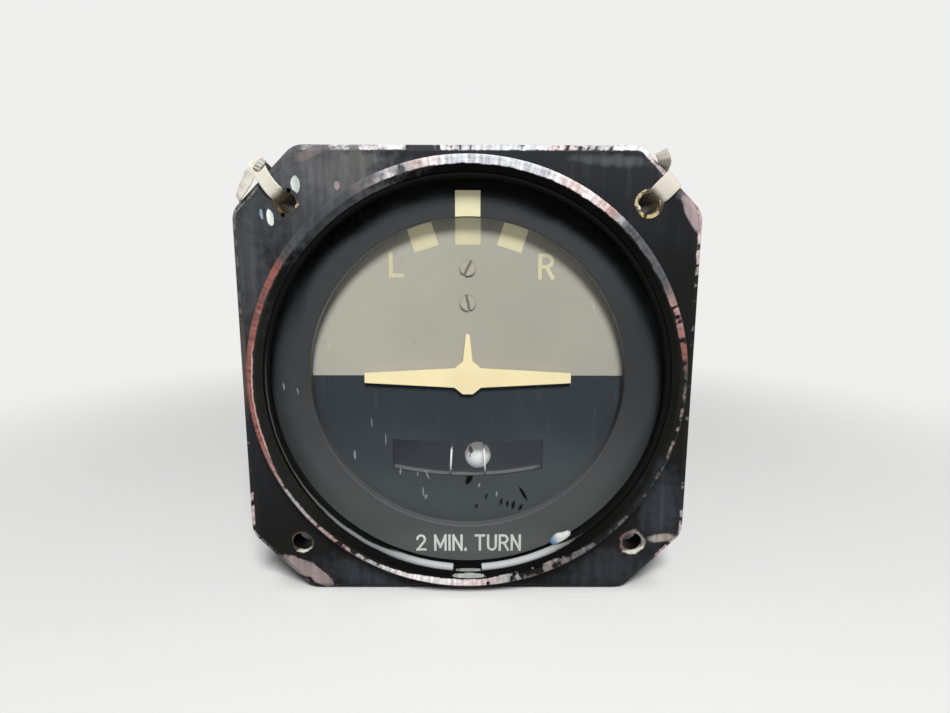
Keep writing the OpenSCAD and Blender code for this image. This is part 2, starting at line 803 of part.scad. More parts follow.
module brushes() {
    color("#2b2b2b") brush_places() translate([-brush_w / 2, -brush_w / 2, 0])
        cube([brush_w, brush_w, brush_len]);
}

// Field magnet inside the rotor's left-hand hollow, with two flats that part its poles
module field_magnet() {
    r = rotor_d / 2 - rotor_rim - magnet_gap;
    flat = 0.8 * r;
    color("#5b5d60") difference() {
        union() {
            intersection() {
                axle(2 * r, -gimbal_in + 1, web_x - 2);
                translate([-gimbal_in, rotor_y - flat, -r]) cube([gimbal_in + web_x, 2 * flat, 2 * r]);
            }
            axle(2 * r, -gimbal_in, -gimbal_in + 1 + skin);
        }
        axle(2 * (hub_r + magnet_gap), -gimbal_in - 1, web_x);
    }
}

// Route of the centring spring: a hook round the gimbal's pin, the turns, and a hook round the fixed post
function spring_path() =
    let(z0 = spring_top - hook_r - spring_lead, z1 = spring_low + hook_r + spring_lead, n = 8 * spring_turns)
    concat(
        [for (a = [170:-30:-40]) [hook_r * cos(a), 0, spring_top + hook_r * sin(a)]],
        [for (i = [0:n]) [spring_r * cos(45 * i), spring_r * sin(45 * i), z0 + (z1 - z0) * i / n]],
        [for (a = [40:-30:-170]) [hook_r * cos(a), 0, spring_low + hook_r * sin(a)]]
    );

// Side directions along a path, each carried over from the last one so that the tube doesn't twist
function carried(tangents, i, side) =
    let(t = tangents[i], s = unit(side - t * (side * t)))
    i == len(tangents) - 1 ? [s] : concat([s], carried(tangents, i + 1, s));

// One unbroken tube of six sides along a path
module wire(path, d) {
    k = len(path);
    sides = 6;
    tangents = [for (i = [0:k - 1]) unit(path[min(i + 1, k - 1)] - path[max(i - 1, 0)])];
    across = carried(tangents, 0, [0, 1, 0]);
    rings = [for (i = [0:k - 1], j = [0:sides - 1])
        let(a = 360 * j / sides, up = cross(tangents[i], across[i]))
        path[i] + d / 2 * (cos(a) * across[i] + sin(a) * up)];
    walls = [for (i = [0:k - 2], j = [0:sides - 1])
        let(a = i * sides + j, b = i * sides + (j + 1) % sides)
        each [[a, b, b + sides], [a, b + sides, a + sides]]];
    last = (k - 1) * sides;
    ends = [for (j = [1:sides - 2]) each [[0, j + 1, j], [last, last + j, last + j + 1]]];
    polyhedron(rings, [for (f = concat(walls, ends)) [f[0], f[2], f[1]]]);
}

module centring_spring() {
    path = spring_path();
    k = len(path);
    gap = min([for (i = [0:k - 7], j = [i + 6:k - 1]) norm(path[i] - path[j])]) - spring_wire;
    echo("least gap of the spring to itself", gap);
    color("#9fa3a6") translate([0, spring_y, 0]) wire(path, spring_wire);
}

module spring_post() {
    color("#c4c6c8") rod(hook_pin_d, spring_y - spring_r, rear_plate_y, 0, spring_low);
}

// Dashpot: a cylinder held to the rear plate by a lug, closed below
module dashpot_cylinder() {
    lug = 5;
    color("#b79a4a") difference() {
        union() {
            translate([dash_arm, dash_y, dash_bottom]) cylinder(d = dash_od, h = dash_top - dash_bottom);
            translate([dash_arm - lug / 2, dash_y, (dash_top + dash_bottom) / 2 - lug])
                cube([lug, rear_plate_y - dash_y, 2 * lug]);
        }
        translate([dash_arm, dash_y, dash_bottom + dash_floor])
            cylinder(d = dash_od - 2 * dash_wall, h = dash_top - dash_bottom);
    }
}

// Piston, rod and slotted yoke: the yoke's slot runs along X over the gimbal's pin
module dashpot_piston() {
    slot_h = dash_pin_d + 2 * yoke_play;
    slot_w = yoke_w - 2.4;
    color("#d0d2d4") translate([dash_arm, dash_y, 0]) {
        translate([0, 0, piston_z - piston_len / 2])
            cylinder(d = dash_od - 2 * dash_wall - 2 * running, h = piston_len);
        translate([0, 0, piston_z]) cylinder(d = piston_rod_d, h = -piston_z - yoke_h / 2 + skin);
        difference() {
            translate([-yoke_w / 2, -yoke_t / 2, -yoke_h / 2]) cube([yoke_w, yoke_t, yoke_h]);
            translate([-slot_w / 2, -yoke_t, -slot_h / 2]) cube([slot_w, 2 * yoke_t, slot_h]);
        }
    }
}

module terminal_board() {
    color("#6b4a2b") slab(board_y, board_y + board_t) translate([0, board_z]) difference() {
        square([board_w, board_h], center = true);
        for (x = [-1, 1]) translate([x * standoff_x, 0]) circle(d = screw_d);
        for (i = [-1:1]) translate([i * terminal_pitch, 0]) circle(d = screw_d);
    }
}

module board_standoffs() {
    color("#b0b2b5") for (x = [-1, 1])
        rod(standoff_d, rear_plate_back, board_y, x * standoff_x, board_z);
}

module terminal_screws() {
    color("#c2a45a") for (i = [-1:1])
        translate([i * terminal_pitch, board_y + board_t, board_z]) rotate([-90, 0, 0])
            screw(screw_d - 2 * skin, screw_head_d, screw_head_h, board_t + 1);
}

module noise_capacitor() {
    color("#9da0a3") translate([-capacitor_len / 2, capacitor_y, capacitor_z]) rotate([0, 90, 0])
        cylinder(d = capacitor_d, h = capacitor_len);
}

// Strap round the capacitor, with a foot each side on the rear plate
module capacitor_clip() {
    foot = 4;
    d = capacitor_d + 2 * strap_t;
    color("#b0b2b5") translate([-strap_w / 2, capacitor_y, capacitor_z]) rotate([90, 0, 90])
        linear_extrude(strap_w) difference() {
            union() {
                circle(d = d);
                translate([-d / 2, -d / 2 - foot]) square([strap_t, d + 2 * foot]);
            }
            circle(d = capacitor_d);
        }
}

// Drawn can: open at both ends, with four lugs inside for the rear cover's screws
module case_can() {
    color("#1f1f21") difference() {
        union() {
            ring(2 * can_r, 2 * can_in, flange_t, can_end);
            quarters() intersection() {
                rod(lug_d, can_end - lug_len, can_end, lug_r, 0);
                rod(2 * (can_in + skin), can_end - lug_len - 1, can_end + 1);
            }
        }
        quarters() rod(screw_d, can_end - lug_len - 1, can_end + 1, lug_r, 0);
        quarters() translate([can_in - 2, case_screw_y, 0]) rotate([0, 90, 0])
            cylinder(d = small_screw_d, h = 6);
    }
}

module case_screws() {
    color("#3a3a3c") quarters() translate([can_r, case_screw_y, 0]) rotate([0, 90, 0])
        screw(small_screw_d - 2 * skin, small_head_d, small_head_h, case_wall + 1.6);
}

module cover_gasket() {
    color("#151515") difference() {
        ring(2 * can_r, 2 * (lug_r - lug_d / 2 - 0.4), can_end, cover_y);
        quarters() rod(screw_d, can_end - 1, cover_y + 1, lug_r, 0);
    }
}

// Rear cover with a rounded edge and a hole for the connector
module rear_cover() {
    edge = cover_t * 0.6;
    color("#1f1f21") difference() {
        turned(concat(
            [[0, cover_y], [can_r, cover_y]],
            arc([can_r - edge, cover_back - edge], edge, 0, 90, 6),
            [[0, cover_back]]
        ));
        rod(2 * (plug_tail_r + slip), cover_y - 1, cover_back + 1);
        quarters() rod(screw_d, cover_y - 1, cover_back + 1, lug_r, 0);
        corners(plug_pitch) rod(small_screw_d, cover_y - 1, cover_back + 1);
    }
}

module cover_screws() {
    color("#3a3a3c") quarters() translate([lug_r, cover_back, 0]) rotate([-90, 0, 0])
        screw(screw_d - 2 * skin, screw_head_d, screw_head_h, cover_t + cover_gasket_t + lug_len - 2);
}

// Two-pin connector: square flange, barrel behind it and a tail through the cover
module receptacle_shell() {
    color("#a9aaa2") difference() {
        union() {
            slab(cover_back, plug_y)
                polygon(rounded([for (a = [45:90:315]) plug_flange / sqrt(2) * [cos(a), sin(a)]], 3, 6));
            rod(plug_od, plug_y - skin, plug_end);
            rod(2 * plug_tail_r, cover_back - plug_tail, cover_back + skin);
        }
        rod(2 * plug_bore_r, cover_back - plug_tail - 1, plug_end + 1);
        corners(plug_pitch) rod(small_screw_d, cover_back - 1, plug_y + 1);
    }
}

module receptacle_insert() {
    color("#3d4a3a") difference() {
        rod(2 * plug_bore_r - 2 * skin, cover_back - plug_tail, insert_front);
        for (x = [-1, 1]) rod(pin_d + 2 * skin, cover_back - plug_tail - 1, insert_front + 1, x * pin_x, 0);
    }
}

module receptacle_pins() {
    color("#c9a94f") for (x = [-1, 1]) rod(pin_d, cover_back - plug_tail - 2, pin_tip, x * pin_x, 0);
}

module receptacle_screws() {
    color("#8d9094") corners(plug_pitch) translate([0, plug_y, 0]) rotate([-90, 0, 0])
        screw(small_screw_d - 2 * skin, small_head_d, small_head_h, plug_flange_t + cover_t);
}

front_bezel();
mounting_nuts();
left_tie();
right_tie();
snap_ring();
cover_glass();
dial_mask();
mask_gasket();
turn_disc();
disc_screws();
disc_arm();
aircraft_symbol();
symbol_post();
inclinometer_tube();
tube_plugs();
tube_index_wires();
tube_cradle();
tube_clips();
slip_ball();
front_plate();
front_plate_screws();
frame_pillars();
rear_plate();
rear_plate_screws();
gimbal_frame();
gimbal_pivots();
gimbal_bearings();
gyro_rotor();
rotor_shaft();
rotor_bearings();
bearing_caps();
commutator();
brush_plate();
brush_holders();
brushes();
field_magnet();
centring_spring();
spring_post();
dashpot_cylinder();
dashpot_piston();
terminal_board();
board_standoffs();
terminal_screws();
noise_capacitor();
capacitor_clip();
case_can();
case_screws();
cover_gasket();
rear_cover();
cover_screws();
receptacle_shell();
receptacle_insert();
receptacle_pins();
receptacle_screws();
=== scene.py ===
"""Looks of an aircraft turn and slip indicator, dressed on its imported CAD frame.

Lengths are millimetres unless a name says otherwise. X is to the right, Y runs from the front into the case and
Z is up. The origin is the centre of the flange's front face.
"""

import json
import logging
import math
from collections.abc import Callable, Sequence
from dataclasses import dataclass
from enum import Enum
from functools import reduce
from typing import Protocol, Union

import bmesh
import bpy
import numpy as np
from mathutils import Matrix

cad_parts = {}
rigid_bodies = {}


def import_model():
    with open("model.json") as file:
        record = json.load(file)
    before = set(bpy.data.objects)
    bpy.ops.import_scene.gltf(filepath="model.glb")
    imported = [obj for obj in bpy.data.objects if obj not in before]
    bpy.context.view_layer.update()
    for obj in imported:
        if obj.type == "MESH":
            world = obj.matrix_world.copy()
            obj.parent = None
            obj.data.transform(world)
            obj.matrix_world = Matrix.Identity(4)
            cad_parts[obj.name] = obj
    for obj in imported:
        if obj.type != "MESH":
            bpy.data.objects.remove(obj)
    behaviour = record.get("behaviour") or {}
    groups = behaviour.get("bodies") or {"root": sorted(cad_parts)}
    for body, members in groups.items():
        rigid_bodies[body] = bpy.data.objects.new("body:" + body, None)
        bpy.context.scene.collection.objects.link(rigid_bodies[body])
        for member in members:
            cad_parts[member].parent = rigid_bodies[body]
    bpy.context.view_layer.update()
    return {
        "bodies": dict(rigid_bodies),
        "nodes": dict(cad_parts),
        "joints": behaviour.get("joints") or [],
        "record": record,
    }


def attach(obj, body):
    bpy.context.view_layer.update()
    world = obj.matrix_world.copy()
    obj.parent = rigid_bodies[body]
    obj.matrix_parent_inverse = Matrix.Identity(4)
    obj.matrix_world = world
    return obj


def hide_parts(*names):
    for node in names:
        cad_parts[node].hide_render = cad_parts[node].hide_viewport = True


LOG = logging.getLogger("turn_and_slip")

MM = 0.001  # metres in a millimetre
TURN = 2 * math.pi  # radians in a full turn

# Sizes that several pieces share.
FLANGE_HALF = 41.275  # half of the square flange
HOLE_AT = 31.435  # panel holes from the middle, both across and up
GLASS_Y = -0.2  # front face of the cover glass
DISC_SCREWS_Z = (20.25, 13.85)  # heights of the disc's two screws
DISC_SCREW_R = 1.5  # radius of their heads
PAINT_THICK = 0.03  # how far painted marks stand out
ROTOR_Y = 48.3  # depth of the rotor's axis
BLACK = (0.0, 0.0, 0.0)
WHITE_LIGHT = (1.0, 1.0, 1.0)

# Kinds of values.
Colour = tuple[float, float, float]
Pair = tuple[float, float]
Triple = tuple[float, float, float]
Stop = tuple[float, Colour, float]
Box = tuple[float, float, float, float]
Scratch = tuple[float, float, float, float, float]
Material = bpy.types.Material
Piece = bpy.types.Object
Term = Union["Value", float]


# ---------------------------------------------------------------- shader graph


def joined(operation: str, reflected: bool = False) -> Callable[["Value", Term], "Value"]:
    """A method that joins a value and another term in one Math node.

    Args:
        operation: Operation of the Math node.
        reflected: The other term comes first.

    Returns:
        The method.
    """
    def method(self: "Value", other: Term) -> "Value":
        """The two terms joined."""
        return self.graph.math(operation, *((other, self) if reflected else (self, other)))

    return method


class Value:
    """A socket of a shader graph; arithmetic on it adds Math nodes."""

    def __init__(self, graph: "Graph", socket: bpy.types.NodeSocket) -> None:
        """Keeps the socket and the graph that owns it."""
        self.graph = graph
        self.socket = socket

    __add__, __radd__ = joined("ADD"), joined("ADD", True)
    __sub__, __rsub__ = joined("SUBTRACT"), joined("SUBTRACT", True)
    __mul__, __rmul__ = joined("MULTIPLY"), joined("MULTIPLY", True)
    __truediv__, __rtruediv__ = joined("DIVIDE"), joined("DIVIDE", True)
    __pow__, __rpow__ = joined("POWER"), joined("POWER", True)
    most, least = joined("MAXIMUM"), joined("MINIMUM")

    def __abs__(self) -> "Value":
        """Size without sign."""
        return self.graph.math("ABSOLUTE", self)

    def sine(self) -> "Value":
        """Sine of an angle in radians."""
        return self.graph.math("SINE", self)

    def clip(self) -> "Value":
        """Limits the value to the range 0 to 1."""
        return self.graph.math("ADD", self, 0.0, clamp=True)

    def rise(self, start: float, end: float) -> "Value":
        """Runs smoothly from 0 at start to 1 at end; end may be below start."""
        return self.graph.node("ShaderNodeMapRange", {"interpolation_type": "SMOOTHSTEP"},
                               {"Value": self, "From Min": start, "From Max": end})

    def between(self, low: float, high: float, soft: float) -> "Value":
        """A mask that is 1 from low to high, with edges of the given softness."""
        return self.rise(low - soft, low + soft) * self.rise(high + soft, high - soft)


def length(first: Value, second: Value) -> Value:
    """Length of a vector of two parts."""
    return (first * first + second * second) ** 0.5


def toned(colour: Colour, factor: float) -> Colour:
    """A colour made lighter or darker."""
    return tuple(part * factor for part in colour)


class Graph:
    """A material's or the sky's node tree, built from expressions."""

    def __init__(self, name: str, sky: bool = False) -> None:
        """Starts an empty material or sky.

        Args:
            name: Its name.
            sky: Makes a sky instead of a material.
        """
        self.sky = sky
        self.material = bpy.data.worlds.new(name) if sky else bpy.data.materials.new(name)
        self.material.use_nodes = True
        self.tree = self.material.node_tree
        self.tree.nodes.clear()
        self._place: Value | None = None

    def put(self, socket: bpy.types.NodeSocket, value: object) -> None:
        """Links a Value to a socket, or sets a plain number or colour on it.

        Args:
            socket: The input to fill.
            value: A Value, a number, a vector or a colour of three numbers.
        """
        if isinstance(value, Value):
            self.tree.links.new(value.socket, socket)
        elif isinstance(value, tuple) and len(value) == 3 and socket.type == "RGBA":
            socket.default_value = (*value, 1.0)
        else:
            socket.default_value = value

    def node(self, kind: str, settings: dict[str, object] | None = None,
             inputs: dict[object, object] | None = None, output: object = 0) -> Value:
        """Adds any node: its settings first, then its inputs.

        Args:
            kind: The node's type.
            settings: Properties of the node; "stops" gives a ramp's (position, colour, alpha) stops.
            inputs: Values, numbers or colours by the socket's name or number.
            output: Name or number of the output that is wanted.

        Returns:
            The chosen output.
        """
        made = self.tree.nodes.new(kind)
        for key, value in (settings or {}).items():
            if key == "stops":
                self._set_stops(made.color_ramp, value)
            else:
                setattr(made, key, value)
        for key, value in (inputs or {}).items():
            self.put(made.inputs[key], value)
        return Value(self, made.outputs[output])

    @staticmethod
    def _set_stops(ramp: bpy.types.ColorRamp, stops: Sequence[Stop]) -> None:
        """Gives a ramp its stops.

        Args:
            ramp: The ramp, which starts with two stops.
            stops: Position from 0 to 1, colour and alpha of each stop, in order.
        """
        while len(ramp.elements) < len(stops):
            ramp.elements.new(1.0)
        for element, (position, colour, alpha) in zip(ramp.elements, stops):
            element.position = position
            element.color = (*colour, alpha)

    def math(self, operation: str, *terms: Term, clamp: bool = False) -> Value:
        """One Math node on values and numbers."""
        return self.node("ShaderNodeMath", {"operation": operation, "use_clamp": clamp}, dict(enumerate(terms)))

    def place(self) -> Value:
        """Object coordinates in millimetres, as a vector."""
        self._place = self._place or self.scaled(self.node("ShaderNodeTexCoord", output="Object"), 1 / MM)
        return self._place

    def xyz(self) -> tuple[Value, Value, Value]:
        """The three object coordinates in millimetres."""
        return self.split(self.place())

    def scaled(self, vector: Value, factor: Term) -> Value:
        """A vector or colour times a number."""
        return self.node("ShaderNodeVectorMath", {"operation": "SCALE"}, {0: vector, "Scale": factor})

    def split(self, vector: Value) -> tuple[Value, Value, Value]:
        """The three parts of a vector."""
        made = self.node("ShaderNodeSeparateXYZ", inputs={0: vector}).socket.node
        return tuple(Value(self, socket) for socket in made.outputs)

    def noise(self, scale: float, detail: float = 2.0, at: Value | None = None) -> Value:
        """Soft noise around 0.5; scale is in waves per millimetre."""
        return self.node("ShaderNodeTexNoise", inputs={"Vector": at or self.place(), "Scale": scale, "Detail": detail})

    def swing(self, scale: float, detail: float = 2.0) -> Value:
        """Soft noise about zero."""
        return self.noise(scale, detail) - 0.5

    def streaks(self, along: Value, scale: float, detail: float = 2.0) -> Value:
        """Noise along one value only, which gives bars across it."""
        return self.node("ShaderNodeTexNoise", {"noise_dimensions": "1D"},
                         {"W": along, "Scale": scale, "Detail": detail})

    def stretched(self, scale: Triple, detail: float = 2.0) -> Value:
        """Noise with its own number of waves per millimetre along each axis."""
        at = self.node("ShaderNodeMapping", inputs={"Vector": self.place(), "Scale": scale})
        return self.noise(1.0, detail, at)

    def mix(self, mask: Term, low: Value | Colour, high: Value | Colour) -> Value:
        """The colour low where the mask is 0 and high where it is 1."""
        return self.node("ShaderNodeMix", {"data_type": "RGBA"}, {0: mask, 6: low, 7: high}, 2)

    def ramp(self, along: Value, stops: Sequence[Stop]) -> tuple[Value, Value]:
        """A colour and an amount that change along a value.

        Args:
            along: Value from 0 to 1.
            stops: Position, colour and amount of each stop.

        Returns:
            The colour and the amount.
        """
        colour = self.node("ShaderNodeValToRGB", {"stops": stops}, {0: along})
        return colour, Value(self, colour.socket.node.outputs["Alpha"])

    def spot(self, centre: Pair, half: Pair, turn: float, ragged: Term = 0.0, soft: float = 0.08) -> Value:
        """A mask of an ellipse in the front view.

        Args:
            centre: X and Z of its middle.
            half: Half of its length and half of its width.
            turn: Angle of its length above the X axis, in degrees.
            ragged: Added to the distance from the middle, to break up the edge.
            soft: Half of the edge's width, as a share of the ellipse.

        Returns:
            1 inside the ellipse and 0 outside.
        """
        local = self.node("ShaderNodeMapping", {"vector_type": "TEXTURE"}, {
            "Vector": self.place(), "Location": (centre[0], 0.0, centre[1]),
            "Rotation": (0.0, -math.radians(turn), 0.0), "Scale": (half[0], 1e5, half[1])})
        away = self.node("ShaderNodeVectorMath", {"operation": "LENGTH"}, {0: local}, "Value")
        return (away + ragged).rise(1.0 + soft, 1.0 - soft)

    def seen(self) -> Value:
        """1 for what the eye sees, directly or in metal and glass, and 0 for the light that a thing throws."""
        rays = self.node("ShaderNodeLightPath").socket.node.outputs
        return reduce(Value.most, (Value(self, rays[f"Is {way} Ray"]) for way in ("Camera", "Glossy", "Transmission")))

    def bump(self, height: Value, depth: float) -> Value:
        """A normal from a height of 0 to 1 over the given depth."""
        return self.node("ShaderNodeBump", inputs={"Strength": 1.0, "Distance": depth * MM, "Height": height})

    def surface(self, colour: Value, rough: Value, height: Value, depth: float, **more: object) -> Material:
        """Ends the graph in a Principled shader.

        Args:
            colour: Base colour.
            rough: Roughness, which is limited to the range 0 to 1.
            height: Height of the relief, from 0 to 1.
            depth: Depth of the relief in millimetres.
            more: Values or constants by the socket's name, with _ for each space.

        Returns:
            The finished material.
        """
        named = {key.replace("_", " "): value for key, value in more.items()}
        return self.close(self.node("ShaderNodeBsdfPrincipled", inputs={
            "Base Color": colour, "Roughness": rough.clip(), "Normal": self.bump(height, depth), **named}))

    def close(self, shader: Value) -> Material:
        """Ends the graph in a shader.

        Args:
            shader: The shader.

        Returns:
            The finished material or sky.
        """
        end = self.tree.nodes.new("ShaderNodeOutputWorld" if self.sky else "ShaderNodeOutputMaterial")
        self.put(end.inputs["Surface"], shader)
        return self.material


# ---------------------------------------------------------------- finishes


class Finish(Protocol):
    """Anything that makes a material."""

    def material(self) -> Material:
        """Builds the material."""
        ...


class Lay(Enum):
    """Direction of the fine lines that a tool leaves."""

    NONE = "no lines"
    DIAL = "rings about the dial axis"
    ROTOR = "rings about the rotor's axis"
    DRAWN = "lines along X"


@dataclass(frozen=True)
class Metal:
    """Bare metal with tool lines, stains and uneven gloss."""

    name: str
    colour: Colour
    roughness: float = 0.35
    lay: Lay = Lay.NONE
    stain: Colour = (0.16, 0.13, 0.1)
    stained: float = 0.35
    lines_depth: float = 0.006

    def _lines(self, graph: Graph) -> Value:
        """Fine tool lines: noise of the distance from the axis that the piece was turned about.

        Args:
            graph: The graph that the lines are added to.

        Returns:
            A height from 0 to 1.
        """
        x, y, z = graph.xyz()
        if self.lay is Lay.DIAL:
            return graph.streaks(length(x, z), 4.0, 3.0)
        if self.lay is Lay.ROTOR:
            return graph.streaks(length(y - ROTOR_Y, z), 4.0, 3.0)
        if self.lay is Lay.DRAWN:
            return graph.stretched((0.15, 5.0, 5.0), 3.0)
        return graph.noise(4.0, 3.0)

    def material(self) -> Material:
        """Stained metal whose gloss follows its tool lines.

        Returns:
            The finished material.
        """
        graph = Graph(self.name)
        cloud = graph.noise(0.3, 4.0)
        lines = self._lines(graph)
        dirt = cloud.rise(0.45, 0.75) * self.stained
        rough = (lines - 0.5) * 0.25 + dirt * 0.5 + self.roughness
        base = graph.mix(dirt, self.colour, self.stain)
        return graph.surface(base, rough, lines, self.lines_depth, Metallic=1.0 - dirt * 0.5)


@dataclass(frozen=True)
class Paint:
    """Sprayed paint: slight mottle, orange peel and dust."""

    name: str
    colour: Colour
    roughness: float = 0.5
    mottle: float = 0.12
    peel: float = 0.012
    peel_scale: float = 1.6
    dust: float = 0.0
    gloss: float = 0.5
    # glow is painted light: the paint gives off a little light of its own colour.
    glow: float = 0.0

    def material(self) -> Material:
        """Paint whose colour and gloss drift slowly, with fine dust in the hollows; a glow, where given, is painted
        light.

        Returns:
            The finished material.
        """
        graph = Graph(self.name)
        drift = graph.noise(0.12, 3.0)
        peel = graph.noise(self.peel_scale, 2.0)
        base = graph.mix(drift.rise(0.3, 0.7), toned(self.colour, 1 - self.mottle), toned(self.colour, 1 + self.mottle))
        grains = graph.noise(0.5, 3.0).rise(0.5, 0.8) * self.dust
        base = graph.mix(grains, base, (0.32, 0.31, 0.3))
        rough = (drift - 0.5) * 0.25 + (peel - 0.5) * 0.1 + grains * 0.4 + self.roughness
        light = {"Emission_Color": base, "Emission_Strength": self.glow} if self.glow else {}
        return graph.surface(base, rough, peel, self.peel, Specular_IOR_Level=self.gloss, **light)


@dataclass(frozen=True)
class CracklePaint:
    """Black wrinkle paint of the case, rubbed through on its edges."""

    name: str
    colour: Colour = (0.017, 0.017, 0.018)
    thin: Colour = (0.03, 0.03, 0.032)
    rub: Colour = (0.28, 0.27, 0.26)
    relief: float = 0.11

    def material(self) -> Material:
        """Wrinkles from stretched cells, with rubbed specks on the ridges.

        Returns:
            The finished material.
        """
        graph = Graph(self.name)
        wander = graph.node("ShaderNodeTexNoise", inputs={"Vector": graph.place(), "Scale": 0.7}, output=1)
        shifted = graph.node("ShaderNodeVectorMath", {"operation": "ADD"}, {0: graph.place(), 1: wander})
        cells = graph.node("ShaderNodeTexVoronoi", {"feature": "SMOOTH_F1"},
                           {"Vector": shifted, "Scale": 1.5, "Smoothness": 0.5})
        cloud = graph.noise(0.09, 3.0)
        worn = (cells.rise(0.22, 0.1) * cloud.rise(0.52, 0.7)) * 0.5
        base = graph.mix(worn, graph.mix(cloud, self.colour, self.thin), self.rub)
        rough = 0.5 + (cloud - 0.5) * 0.3 + cells * 0.2
        return graph.surface(base, rough, 1.0 - cells, self.relief)


@dataclass(frozen=True)
class Blot:
    """A patch in the front view: a chip where paint is gone, paint that has landed, a dark mark, or a soft patch of
    painted sheen.
    """

    centre: Pair
    half: Pair
    turn: float
    colour: Colour
    soft: float = 0.08
    ragged: float = 1.0


def turn_share(degrees: float) -> float:
    """An angle of -180 to 180 degrees as a share of a turn, from 0 to 1."""
    return (degrees + 180.0) / 360.0


# Colours along the rim and the flange's edge: primer, bare metal and thin paint where it is worn, and painted sheen.
# The smooth greys satin, sheen and lavender are painted sheen and highlight where the light catches the paint; satin is
# also paint rubbed smooth.
RED = (0.26, 0.1, 0.083)
ROSE = (0.4, 0.25, 0.23)
PALE_ROSE = (0.66, 0.52, 0.5)
BARE = (0.42, 0.41, 0.42)
WHITE = (0.8, 0.75, 0.75)
LAVENDER_HIGHLIGHT = (0.59, 0.59, 0.63)
DUSK = (0.22, 0.19, 0.18)
SATIN_SHEEN = (0.1, 0.1, 0.105)
SHEEN = (0.075, 0.075, 0.078)


@dataclass(frozen=True)
class Ground:
    """What the bezel's wear is worked out from: place, radius and angle about the dial axis, and noise about zero."""

    graph: Graph
    x: Value
    y: Value
    z: Value
    radius: Value
    angle: Value
    lumps: Value
    fine: Value

    @classmethod
    def of(cls, graph: Graph) -> "Ground":
        """Works the values out; the angle is a share of a turn, from 0 to 1.

        Args:
            graph: The graph that they are added to.

        Returns:
            The values.
        """
        x, y, z = graph.xyz()
        angle = graph.math("ARCTAN2", z, x) / TURN + 0.5
        return cls(graph, x, y, z, length(x, z), angle, graph.swing(0.55, 4.0), graph.swing(2.2, 4.0))

    def bars(self) -> Value:
        """Noise that lies across the rim in bars."""
        return (self.graph.streaks(self.angle, 170.0, 3.0) - 0.5) * 0.8


